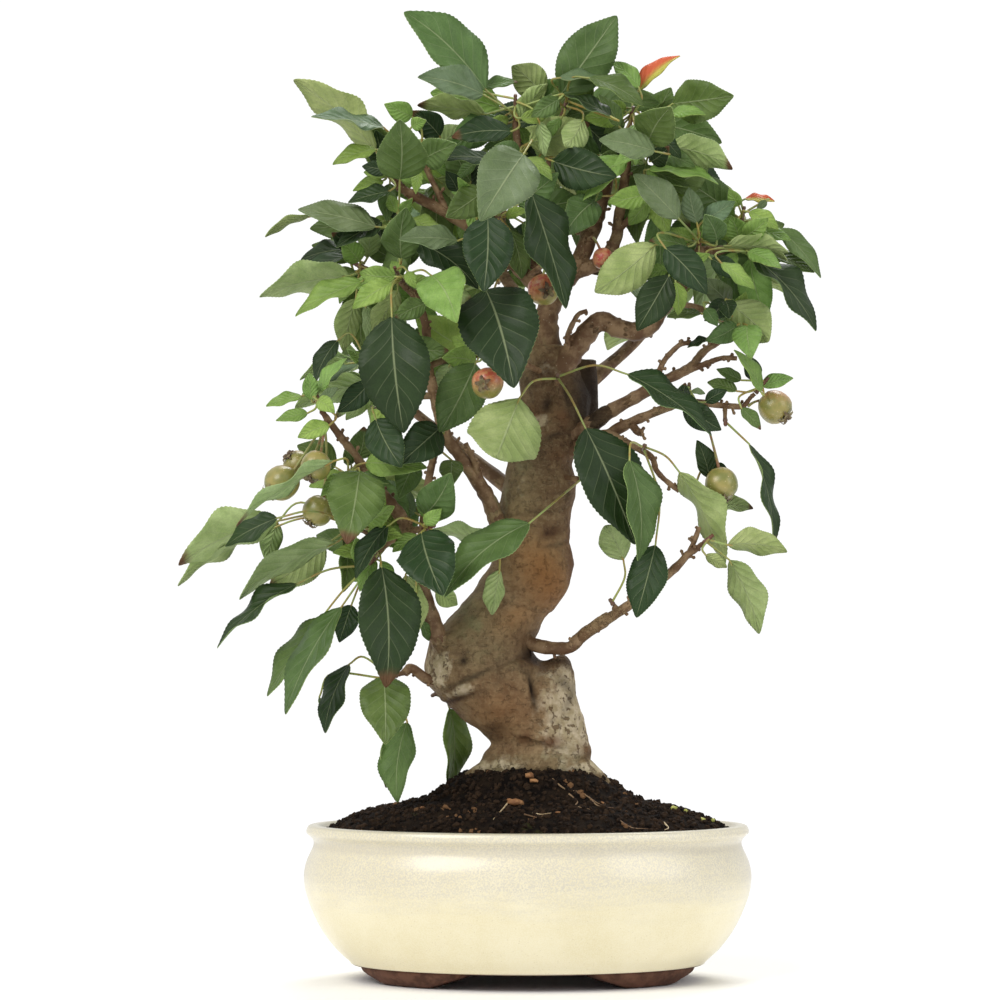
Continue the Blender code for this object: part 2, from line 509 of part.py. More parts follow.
def nearest_on_wood(place):
    """The nearest point on the middle lines of the branches, and the radius there."""
    best = None
    for points, first, last, _ in BRANCHES.values():
        line = [seen(*p) for p in points]
        for i in range(len(line) - 1):
            along = line[i + 1] - line[i]
            share = max(0.0, min(1.0, (place - line[i]).dot(along) / along.length_squared))
            point = line[i] + along * share
            radius = first + (last - first) * (i + share) / (len(line) - 1)
            if best is None or (place - point).length - radius < best[0]:
                best = ((place - point).length - radius, point, radius)
    for z, x, half_width, half_depth, y in TRUNK:
        point = Vector((x, y, z))
        apart = (place - point).length - min(half_width, half_depth)
        if apart < best[0]:
            best = (apart, point, min(half_width, half_depth))
    return best[1], best[2]


def spur_to(place, short=GAP):
    """Path and radii of a spur of wood that ends just short of a place, and its direction."""
    root, radius = nearest_on_wood(place)
    way = (place - root).normalized()
    end = place - way * short
    thick = min(radius * 0.8, 1.7)
    return [root, end], [thick, max(thick * 0.75, 1.0)], way


def mound(x, y):
    """Height of the soil."""
    out = min(math.hypot(x, y / POT_DEPTH_RATIO) / (SOIL_HALF + 0.7), 1.0)
    crown = 1 / (1 + math.exp((math.hypot(x - 2, 1.2 * y) - CROWN_REACH) / 5))
    wave = 0.5 * math.sin(x * 0.21 + y * 0.13) * math.cos(y * 0.19 - x * 0.05)
    return SOIL_EDGE_Z + MOUND_RISE * (1 - out ** 4) + CROWN_RISE * crown + wave * (1 - out)


def soil_body(grow):
    """The soil, grown by a margin: rings up the side, over the mound and down the hole."""
    rings = []
    for half, z in reversed(POT_INSIDE[1:]):
        rings.append(ellipse((0, 0), half - GAP + grow, (half - GAP + grow) * POT_DEPTH_RATIO, z, SOIL_SIDES))
    rings[0] = [p + Vector((0, 0, GAP - grow)) for p in rings[0]]
    edge = SOIL_HALF + grow
    rings.append(ellipse((0, 0), edge, edge * POT_DEPTH_RATIO, SOIL_EDGE_Z + grow, SOIL_SIDES))
    outer = ellipse((0, 0), edge, edge * POT_DEPTH_RATIO, 0, SOIL_SIDES)
    half_x, half_y = (half - grow for half in HOLE_HALF)
    inner = ellipse(HOLE_CENTRE, half_x, half_y, 0, SOIL_SIDES)
    for share in (0.15, 0.4, 0.62, 0.78, 1.0):
        ring = []
        for far, near in zip(outer, inner):
            point = far.lerp(near, share)
            ring.append(Vector((point.x, point.y, mound(point.x, point.y) + grow)))
        rings.append(ring)
    rings.append(ellipse(HOLE_CENTRE, half_x, half_y, HOLE_FLOOR_Z + grow, SOIL_SIDES))
    corners = [p for ring in rings for p in ring]
    return corners, ring_faces(len(rings), SOIL_SIDES)


def ellipse(centre, half_x, half_y, z, sides):
    """Points on an ellipse at a height."""
    ring = []
    for k in range(sides):
        turn = math.tau * k / sides
        ring.append(Vector((centre[0] + half_x * math.cos(turn), centre[1] + half_y * math.sin(turn), z)))
    return ring


def trunk_body():
    """The trunk: an uneven tube of level rings."""
    corners = []
    for z, x, half_width, half_depth, y in TRUNK:
        for k in range(TRUNK_SIDES):
            turn = math.tau * k / TRUNK_SIDES
            knobs = 1 + 0.03 * math.sin(3 * turn + z * 0.11) * math.sin(turn) ** 2
            corners.append(Vector((x + half_width * math.cos(turn),
                                   y + half_depth * knobs * math.sin(turn), z)))
    return corners, ring_faces(len(TRUNK), TRUNK_SIDES)


def plug_body():
    """The foot of the trunk, in its hole in the soil."""
    half_x, half_y = (half - GAP - 0.1 for half in HOLE_HALF)
    rings = [ellipse(HOLE_CENTRE, half_x, half_y, z, SOIL_SIDES) for z in (HOLE_FLOOR_Z + 0.6, 108)]
    return rings[0] + rings[1], ring_faces(2, SOIL_SIDES)


def branch_bodies():
    """Tubes of the branches and roots."""
    bodies = []
    for points, first, last, sides in BRANCHES.values():
        path = [seen(*p) for p in points]
        count = len(path)
        radii = [first + (last - first) * (i / (count - 1)) ** 0.8 for i in range(count)]
        bodies.append(tube(path, radii, sides))
    for points, first, last in ROOTS:
        radii = [first + (last - first) * i / (len(points) - 1) for i in range(len(points))]
        bodies.append(tube(points, radii, 5))
    return bodies


def apple_bodies(fruit):
    """Bodies of a crabapple: the fruit, its calyx and its pedicel."""
    x, z, y, radius, root, way = fruit
    centre = seen(x, z, y)
    down = Vector(way).normalized()
    rings = [(-0.95, 0.4), (-0.6, 0.86), (0.0, 1.03), (0.62, 0.82), (0.96, 0.3)]
    path = [centre + down * (radius * along * 0.96) for along, _ in rings]
    fruit_body = tube(path, [radius * out for _, out in rings], 8)
    tip = centre + down * (radius * 0.8)
    calyx = tube([tip, tip + down * (radius * 0.42)], [radius * 0.2, radius * 0.34], 4)
    top = centre - down * (radius * 0.7)
    start = seen(*root)
    bend = start.lerp(top, 0.5) + (Vector((0, 0, 0.6)) - down) * (0.15 * (top - start).length)
    stalk = bezier(start, bend, top, 2)
    return [fruit_body, calyx, tube(stalk, [0.8, 0.7, 0.7], 3)]


def bud_body(place, axis, length):
    """A short knobbly twig that carries a cluster's petioles."""
    return tube([place, place + axis * length], [1.4, 1.0], 3)


def bud_length(count):
    """Length of a leafy twig: room for each petiole."""
    return 2.5 + 1.3 * count


def back_leaf(rng, bud):
    """A leaf at the back by a rule: out from the trunk and a little down."""
    out = Vector((bud.x - 8, bud.y, (bud.z - 300) * 0.6)).normalized()
    lean = Vector((rng.uniform(-1, 1), rng.uniform(-0.6, 1), rng.uniform(-0.9, 0.8)))
    way = (out + lean * 0.95).normalized()
    length = rng.uniform(27, 44)
    base = bud + way * rng.uniform(8, 17)
    tip = base + (way + Vector((0, 0, -0.35))).normalized() * length
    leaf = leaf_at(base, tip, length * rng.uniform(0.46, 0.56), False, 0.0)
    axis = (tip - base).normalized()
    up = Vector((rng.uniform(-0.4, 0.4), 0.35, 1))
    leaf["normal"] = (up - axis * up.dot(axis)).normalized()
    leaf["side"] = axis.cross(leaf["normal"])
    return leaf


def lay_out():
    """Place every spur, apple and leaf. Gives spur tubes, leaf clusters and fruit bodies."""
    space = Space()
    wood = [trunk_body()] + branch_bodies()
    for body in wood:
        space.add("wood", "solid", *body)
    space.add("soil", "solid", *soil_body(0.0))
    spurs = {}
    buds = {}
    places = {name: place for name, (place, _) in CLUSTERS.items()}
    places.update({name: place for name, (place, _) in BACK_BUDS.items()})
    for name, place in places.items():
        path, radii, way = spur_to(seen(*place))
        spurs[name] = tube(path, radii, 3)
        buds[name] = (seen(*place), way)
    for name, fruits in APPLES.items():
        path, radii, way = spur_to(seen(*fruits[0][4]), 4 * GAP)
        spurs[name] = tube(path, radii, 3)
    for body in spurs.values():
        space.add("wood", "solid", *body)
    apples = {name: [b for fruit in fruits for b in apple_bodies(fruit)] for name, fruits in APPLES.items()}
    for name, bodies in apples.items():
        for body in bodies:
            space.add(name, "solid", *body)
    counts = {name: len(rows) for name, (_, rows) in CLUSTERS.items()}
    counts.update({name: count for name, (_, count) in BACK_BUDS.items()})
    for name, (place, axis) in buds.items():
        length = bud_length(counts[name])
        buds[name] = (place, axis, length)
        space.add(name, "stem", *bud_body(place, axis, length))
    clusters = {name: [] for name in places}
    queue = [(row[6], name, row) for name, (_, rows) in CLUSTERS.items() for row in rows]
    for _, name, row in sorted(queue, key=lambda item: -item[2][4] * 10 + item[0] * 0.01):
        place_hero(space, clusters, name, row, buds[name])
    rng = random.Random(RANDOM_SEED)
    for name, (_, count) in BACK_BUDS.items():
        place_back(space, clusters, name, count, buds[name], rng)
    return spurs, clusters, apples, buds


def leaf_root(bud, order):
    """Where a petiole starts on its leafy twig."""
    place, axis, length = bud
    return place + axis * min(1.4 + 1.3 * order, length - 1.2)


def place_hero(space, clusters, name, row, bud):
    """Place a leaf of the tables, at the first depth where it is clear."""
    slides = [0]
    for step in range(1, 15):
        slides += [-4 * step, 4 * step]
    for shrink in (1.0, 0.85):
        for slide in slides:
            for stretch in (0, 8, -8, 18, -18):
                fitted = row[:4] + (row[4] * shrink,) + row[5:]
                leaf = hero_leaf(fitted, slide, stretch)
                leaf["tone"] = row[5]
                if try_leaf(space, name, leaf_root(bud, len(clusters[name])), leaf):
                    clusters[name].append(leaf)
                    return
    print("left out", name, row)


def place_back(space, clusters, name, count, bud, rng):
    """Place leaves at the back where the leaves in front hide most of them."""
    for _ in range(260):
        if len(clusters[name]) == count:
            return
        leaf = back_leaf(rng, bud[0])
        leaf["tone"] = "M"
        samples = [midrib(leaf, share) for share in (0.3, 0.6, 1.0)]
        samples += [midrib(leaf, 0.45) + leaf["side"] * leaf["width"] * 0.45 * s for s in (1, -1)]
        if sum(space.hidden(p) for p in samples) < 4:
            continue
        if try_leaf(space, name, leaf_root(bud, len(clusters[name])), leaf):
            clusters[name].append(leaf)


def material(name, colour, roughness, coat=0.0):
    """A plain surface of one colour."""
    made = bpy.data.materials.new(name)
    made.use_nodes = True
    shader = made.node_tree.nodes["Principled BSDF"]
    shader.inputs["Base Color"].default_value = (*colour, 1.0)
    shader.inputs["Roughness"].default_value = roughness
    shader.inputs["Coat Weight"].default_value = coat
    return made


def mesh_object(name, body, surface=None):
    """An object from corners in millimetres and faces."""
    corners, faces = body
    mesh = bpy.data.meshes.new(name)
    mesh.from_pydata([tuple(c * MM) if isinstance(c, Vector) else tuple(v * MM for v in c)
                      for c in corners], [], faces)
    mesh.update()
    if surface:
        mesh.materials.append(surface)
    made = bpy.data.objects.new(name, mesh)
    bpy.context.scene.collection.objects.link(made)
    return made


def closed(mesh):
    """Whether each edge of a mesh has exactly two faces."""
    uses = [0] * len(mesh.edges)
    for loop in mesh.loops:
        uses[loop.edge_index] += 1
    return len(uses) > 0 and all(use == 2 for use in uses)


def combine(made, bodies, operation="UNION"):
    """Join bodies to an object, or cut them from it, by one Boolean on a collection."""
    tools = bpy.data.collections.new(made.name + "_tools")
    bpy.context.scene.collection.children.link(tools)
    for i, body in enumerate(bodies):
        tool = mesh_object(f"{made.name}_tool_{i}", body)
        bpy.context.scene.collection.objects.unlink(tool)
        tools.objects.link(tool)
    change = made.modifiers.new("combine", "BOOLEAN")
    change.operand_type = "COLLECTION"
    change.collection = tools
    change.operation = operation
    for solver in ("EXACT", "MANIFOLD"):
        change.solver = solver
        graph = bpy.context.evaluated_depsgraph_get()
        mesh = bpy.data.meshes.new_from_object(made.evaluated_get(graph))
        if closed(mesh):
            break
        print(made.name, "is left open by", solver)
    made.modifiers.clear()
    made.data = mesh
    for tool in list(tools.objects):
        bpy.data.objects.remove(tool)
    bpy.data.collections.remove(tools)


def foot_body(first, last):
    """A low foot under the pot's edge: narrow at the ground, wider above."""
    corners = []
    steps = 4
    for z, draw_in, outer, inner in FOOT_LEVELS:
        turns = [math.radians(first + draw_in + (last - first - 2 * draw_in) * i / steps) for i in range(steps + 1)]
        for turn in turns:
            corners.append(Vector((outer * math.cos(turn), outer * POT_DEPTH_RATIO * math.sin(turn), z)))
        for turn in reversed(turns):
            corners.append(Vector((inner * math.cos(turn), inner * POT_DEPTH_RATIO * math.sin(turn), z)))
    return corners, ring_faces(len(FOOT_LEVELS), 2 * (steps + 1))


def build_pot():
    """The pot, with its feet joined on and two drainage holes."""
    profile = POT_OUTSIDE + POT_INSIDE
    corners = [p for half, z in profile for p in ellipse((0, 0), half, half * POT_DEPTH_RATIO, z, POT_SIDES)]
    shell = corners, ring_faces(len(profile), POT_SIDES)
    pot = mesh_object("pot", shell, material("glaze", (0.86, 0.78, 0.58), 0.15, 0.6))
    combine(pot, [foot_body(first, last) for first, last in FOOT_TURNS])
    drains = []
    for x in (-DRAIN_X, DRAIN_X):
        rings = [ellipse((x, 0), DRAIN_RADIUS, DRAIN_RADIUS, z, DRAIN_SIDES) for z in (4.0, 20.0)]
        drains.append((rings[0] + rings[1], ring_faces(2, DRAIN_SIDES)))
    combine(pot, drains, "DIFFERENCE")
    return pot


def main():
    for old in list(bpy.data.objects):
        bpy.data.objects.remove(old)
    spurs, clusters, apples, buds = lay_out()
    build_pot()
    mesh_object("soil", soil_body(0.0), material("soil", (0.03, 0.02, 0.013), 0.95))
    wood = mesh_object("wood", trunk_body(), material("bark", (0.2, 0.13, 0.08), 0.8))
    combine(wood, [plug_body()] + branch_bodies() + list(spurs.values()))
    combine(wood, [soil_body(GAP)], "DIFFERENCE")
    green = material("leaf", (0.07, 0.16, 0.05), 0.45)
    for name, leaves in clusters.items():
        cluster = mesh_object("leaves_" + name, bud_body(*buds[name]), green)
        combine(cluster, [leaf_body(leaf) for leaf in leaves])
    skin = material("apple_skin", (0.42, 0.33, 0.1), 0.35)
    for name, bodies in apples.items():
        apple = mesh_object(name, bodies[0], skin)
        combine(apple, bodies[1:])
    centre_on_ground()


def centre_on_ground():
    """Move the whole model so that the middle of its box's underside is the origin."""
    parts = [o for o in bpy.data.objects if o.type == "MESH"]
    points = [c.co for o in parts for c in o.data.vertices]
    low = [min(p[i] for p in points) for i in range(3)]
    high = [max(p[i] for p in points) for i in range(3)]
    holder = bpy.data.objects.new("bonsai", None)
    bpy.context.scene.collection.objects.link(holder)
    holder.location = (-(low[0] + high[0]) / 2, -(low[1] + high[1]) / 2, -low[2])
    for part in parts:
        part.parent = holder


main()
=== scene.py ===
# %% [markdown]
# # A crabapple bonsai in a glazed pot
#
# This notebook dresses a small tree: a thick bent trunk, thin branches, serrated leaves, a few
# ripening crabapples, dark soil and a cream oval pot. The plain solids come first, as a frame to
# build on. Each cell then makes one piece or one finish, and says why it is made that way.

# %% Load the frame
import math
import random

import bmesh
import bpy
from mathutils import Matrix, Vector, noise
from mathutils.bvhtree import BVHTree


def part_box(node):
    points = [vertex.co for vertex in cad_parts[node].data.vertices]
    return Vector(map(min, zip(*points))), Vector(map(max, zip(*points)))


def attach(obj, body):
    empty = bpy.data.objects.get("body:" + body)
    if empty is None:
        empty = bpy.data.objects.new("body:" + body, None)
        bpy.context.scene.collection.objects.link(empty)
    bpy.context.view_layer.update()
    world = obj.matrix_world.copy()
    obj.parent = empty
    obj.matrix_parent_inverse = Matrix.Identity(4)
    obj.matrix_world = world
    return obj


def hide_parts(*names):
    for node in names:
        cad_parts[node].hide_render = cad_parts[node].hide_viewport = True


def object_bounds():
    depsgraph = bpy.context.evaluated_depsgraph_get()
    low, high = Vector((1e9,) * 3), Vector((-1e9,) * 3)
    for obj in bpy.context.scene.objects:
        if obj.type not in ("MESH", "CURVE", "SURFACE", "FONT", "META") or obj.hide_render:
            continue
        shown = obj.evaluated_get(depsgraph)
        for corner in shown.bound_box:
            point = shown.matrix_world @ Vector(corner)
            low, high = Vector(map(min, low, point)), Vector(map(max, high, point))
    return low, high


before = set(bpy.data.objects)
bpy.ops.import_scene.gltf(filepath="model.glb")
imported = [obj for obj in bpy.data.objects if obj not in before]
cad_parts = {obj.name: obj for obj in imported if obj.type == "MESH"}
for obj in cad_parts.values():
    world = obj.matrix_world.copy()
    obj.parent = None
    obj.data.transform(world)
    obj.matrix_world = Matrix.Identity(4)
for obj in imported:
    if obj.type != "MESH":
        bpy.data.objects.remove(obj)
cad_box = [list(map(float, corner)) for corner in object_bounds()]
print("frame box", cad_box)

# %% [markdown]
# ## Where things are
#
# The tree is laid out in millimetres from the middle of its pot, as seen from the viewing point.
# The frame has its origin under the middle of the whole model, so the pot's place in the frame
# gives the shift between the two.

# %% Units and the viewing point
MM = 0.001
EYE = Vector((-14.0, -1850.0, 180.0))
GAP = 0.3
pot_low, pot_high = (Vector(corner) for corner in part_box("pot"))
SHIFT = Vector(((pot_low.x + pot_high.x) / 2, (pot_low.y + pot_high.y) / 2, 0.0))


def placed(point):
    """A point of the layout, in metres in the frame."""
    return Vector(point) * MM + SHIFT


print("the pot stands at", [round(v, 4) for v in SHIFT])

# %% Camera
LENS = 133.2
SENSOR_WIDTH = 36.0
AIM = (-13.75, 0.0, 238.5)
camera_data = bpy.data.cameras.new("view")
camera_data.lens = LENS
camera_data.sensor_width = SENSOR_WIDTH
camera_data.clip_end = 50.0
camera = bpy.data.objects.new("view", camera_data)
bpy.context.scene.collection.objects.link(camera)
camera.location = placed(EYE)
camera.rotation_euler = (placed(AIM) - camera.location).to_track_quat("-Z", "Y").to_euler()
bpy.context.scene.camera = camera

# %% [markdown]
# ## The tree's own measures
#
# A bonsai is read ring by ring and twig by twig. The trunk is a pile of level rings, each branch a
# short list of places with a radius at both ends, and each leaf a base, a tip and a width. These
# are the same values that the solids use, so every finer piece lies where its solid is.

# %% Pot and soil
# Pot: half width at each height, up the outside and down the inside
POT_OUTSIDE = [
    (88.2, 7.5), (96.2, 16.0), (103.7, 26.5), (109.7, 40.0), (111.5, 49.8), (110.4, 58.0),
    (106.8, 66.4), (107.4, 70.0), (110.2, 72.8), (109.4, 75.9), (107.2, 76.6),
]
POT_INSIDE = [
    (103.8, 75.7), (101.6, 67.2), (105.0, 52.0), (103.0, 36.0), (94.5, 20.0), (84.0, 13.0),
]
POT_DEPTH_RATIO = 0.765
POT_SIDES = 32
FOOT_TURNS = [(190, 247), (293, 350), (10, 67), (113, 170)]
# Soil
SOIL_EDGE_Z = 72.0
MOUND_RISE = 17.0
CROWN_RISE = 15.5
CROWN_REACH = 43.0
SOIL_HALF = 102.3
HOLE_CENTRE = (4.0, 2.0)
HOLE_HALF = (24.0, 17.5)
HOLE_FLOOR_Z = 60.0

# %% Trunk, branches and roots
# Trunk rings: height, centre x, half width, half depth, centre y
TRUNK = [
    (90, 2, 31, 25, 2), (103, 1.5, 29.5, 22, 2), (111, 4, 26.5, 20, 1), (117, 6.5, 23.3, 19, 0),
    (123, 3, 26.5, 20, 0), (130, -2.5, 31.5, 22, 0), (138, -8.5, 34, 24.5, 0), (147, -14, 36, 26, 0),
    (155, -18, 33.5, 25.5, 0), (162, -22, 28, 24, 0), (169, -22, 26.8, 23, 0), (177, -17, 24.8, 22.5, 0),
    (186, -10, 24.5, 22, 0), (196, -2, 22.8, 20.5, 1), (206, 2.5, 20.5, 19.5, 1), (218, 3.1, 18.3, 18.3, 2),
    (233, 4.3, 18, 17.5, 2), (248, 6.5, 18, 17.5, 2), (256, 6, 16, 16, 2), (268, 9.5, 17, 16, 2),
    (281, 13, 17.8, 16.5, 2), (291, 14, 17, 16, 2), (300, 12.3, 13.8, 14, 1), (316, 10.5, 9.5, 10, 0),
]
TRUNK_SIDES = 12

# Branches: places (x, z, y), then the radius at the root and at the tip, then the sides
BRANCHES = {
    "cut_stub": ([(4, 120, -2), (9, 140, -3), (11, 154, -3), (10, 160.5, -3)], 21, 8.5, 8),
    "dead_stub": ([(21, 262, 7), (28, 276, 10), (29, 292, 10), (29, 309, 9)], 8, 6, 6),
    "low_left": ([(-34, 158, -4), (-43, 166, -12), (-51, 188, -20), (-56, 208, -26), (-59, 221, -29),
                  (-64, 231, -31), (-74, 243.5, -33), (-84, 257.5, -35), (-91, 267, -37),
                  (-96, 273.5, -39), (-103, 283, -41)], 5.0, 1.3, 6),
    "low_left_side": ([(-57, 216, -28), (-66, 219, -30), (-72, 215, -29)], 1.9, 1.2, 4),
    "upright_left": ([(-55, 206, -25), (-52.5, 223, -22), (-51, 238, -18), (-49, 251, -14),
                      (-45, 270, -10), (-44, 286, -8)], 2.4, 1.5, 5),
    "mid_left": ([(0, 216, -4), (-14, 226, -9), (-19, 238, -13), (-25, 248, -16), (-34, 261, -19),
                  (-41, 271, -20), (-46, 288, -20), (-50, 308, -21), (-51, 326, -24), (-56, 340, -27),
                  (-62, 346, -28)], 4.4, 1.5, 6),
    "mid_left_side": ([(-23, 246, -16), (-26, 256, -20), (-31, 267, -22)], 1.8, 1.1, 4),
    "low_right": ([(-6, 172, -4), (4, 166, -12), (20, 164.5, -20), (26, 169.5, -22), (34, 175.5, -24),
                   (42.5, 180.5, -26), (51, 186, -28), (61, 193.5, -30), (74, 204.5, -32),
                   (80, 211, -33), (85, 214.5, -34)], 3.4, 1.6, 5),
    "low_right_up": ([(80, 210, -33), (83, 217, -32), (86, 225, -32)], 1.4, 1.0, 4),
    "snag_left": ([(-40, 148, -6), (-50, 149, -12), (-58, 154.5, -16), (-62, 152, -18)], 2.8, 1.6, 5),
    "high_right": ([(10, 296, 0), (17, 305, -5), (26, 317.5, -9), (36, 328, -11), (46, 324.5, -12),
                    (56, 323, -13), (62.5, 327, -14), (69, 336, -15), (74, 342, -15), (79, 348.5, -14),
                    (81.5, 355, -13), (86, 363, -12), (98, 364, -10), (105, 367.5, -9)], 6.4, 1.6, 6),
    "high_right_side": ([(70, 338, -15), (86, 334.5, -10), (95, 330, -7), (104, 327, -5)], 1.7, 1.1, 4),
    "leader": ([(10.5, 308, 0), (10, 318, 0), (9.5, 331, -2), (16, 345, -3), (24, 355, -3),
                (31, 370, -2), (36, 383.5, 0), (40, 398.5, 2), (42.5, 407, 3)], 7.0, 2.4, 7),
    "leader_right": ([(22, 352, -3), (36, 357.5, -6), (44, 368.5, -8), (46, 381, -9), (48, 393.5, -9),
                      (50, 408.5, -10), (51, 425, -10)], 3.8, 1.6, 6),
    "leader_fork": ([(45, 374, -8), (51, 379, -12), (56, 385, -14), (63, 391, -15)], 1.9, 1.2, 4),
    "leader_left": ([(12, 336, -2), (4, 346, -5), (-6, 356, -7), (-13, 363.5, -8), (-14, 376, -8),
                     (-12, 391, -8), (-7, 405, -9), (-5, 414, -10), (-6, 428, -10)], 4.2, 1.5, 6),
    "thin_upright": ([(6, 350, -3), (3, 359, -4), (4, 369, -5), (9, 388.5, -6), (11, 413, -6)], 2.1, 1.1, 4),
    "red_stub": ([(-12, 364, -8), (-25, 373, -12), (-44, 384.5, -15), (-61, 393.5, -16),
                  (-65, 397, -15)], 3.0, 2.0, 5),
    "red_stub_up": ([(-41, 384, -15), (-45, 393, -13), (-51, 405, -12)], 1.7, 1.1, 4),
    "cross_twig": ([(6, 328, 0), (-15, 327, -2), (-32, 326, -4), (-42, 327.5, -6), (-50, 325, -9),
                    (-57, 317, -12)], 2.0, 1.1, 4),
    "right_main": ([(14, 268, -2), (31, 276, -8), (42.5, 283.5, -10), (56, 291, -11), (69, 298.5, -11),
                    (81, 304.5, -9), (88, 312.5, -7), (96, 318, -4)], 4.6, 1.4, 6),
    "right_arc": ([(62, 294, -11), (66, 303, -15), (69, 309, -16), (76, 316, -16), (82, 317.5, -15)],
                  1.5, 1.0, 4),
    "right_high_twig": ([(80, 303, -9), (90, 307, -12), (97, 309.5, -13), (105, 309.5, -13)], 1.5, 1.0, 4),
    "right_low": ([(18, 262, -4), (36, 268.5, -12), (47, 275, -16), (58, 280, -18), (69, 284.5, -18),
                   (81, 287.5, -17), (96, 286, -15), (108, 285, -13)], 3.2, 1.2, 5),
    "right_knob": ([(52, 277, -17), (55, 273, -18), (58, 272, -18)], 2.0, 1.6, 4),
    "wiggle": ([(24, 266, -9), (39, 272, -17), (48, 268, -20), (56, 264, -22), (62.5, 259.5, -23),
                (64.5, 253.5, -23), (69, 248.5, -22), (76, 243, -21)], 2.0, 1.1, 4),
    "budded_twig": ([(18, 306, -6), (20, 316, -14), (20.5, 322, -16), (25, 331, -17), (30, 333.5, -17)],
                    1.5, 0.9, 4),
    "back_left": ([(2, 236, 8), (-16, 250, 24), (-36, 266, 40), (-58, 284, 52), (-74, 300, 58)], 4.6, 1.5, 5),
    "back_mid": ([(9, 312, 4), (2, 330, 20), (-10, 348, 38), (-20, 368, 54), (-26, 388, 62)], 4.4, 1.4, 5),
    "back_right": ([(16, 284, 8), (34, 300, 28), (54, 318, 44), (72, 338, 54), (84, 356, 58)], 4.4, 1.4, 5),
    "back_top": ([(30, 366, 0), (28, 384, 18), (24, 402, 36), (22, 420, 46)], 3.2, 1.3, 5),
}

# Roots on the soil: places in the tree's own frame (x, y, z), then the two radii
ROOTS = [
    ([(-8, -2, 110), (-20, -6, 104), (-29, -8, 98), (-38, -9, 84)], 7, 4),
    ([(14, -2, 110), (27, -6, 104), (35, -8, 97), (45, -9, 84)], 7, 4),
    ([(4, 8, 109), (0, 21, 103), (-6, 31, 95), (-10, 39, 82)], 8, 4),
]

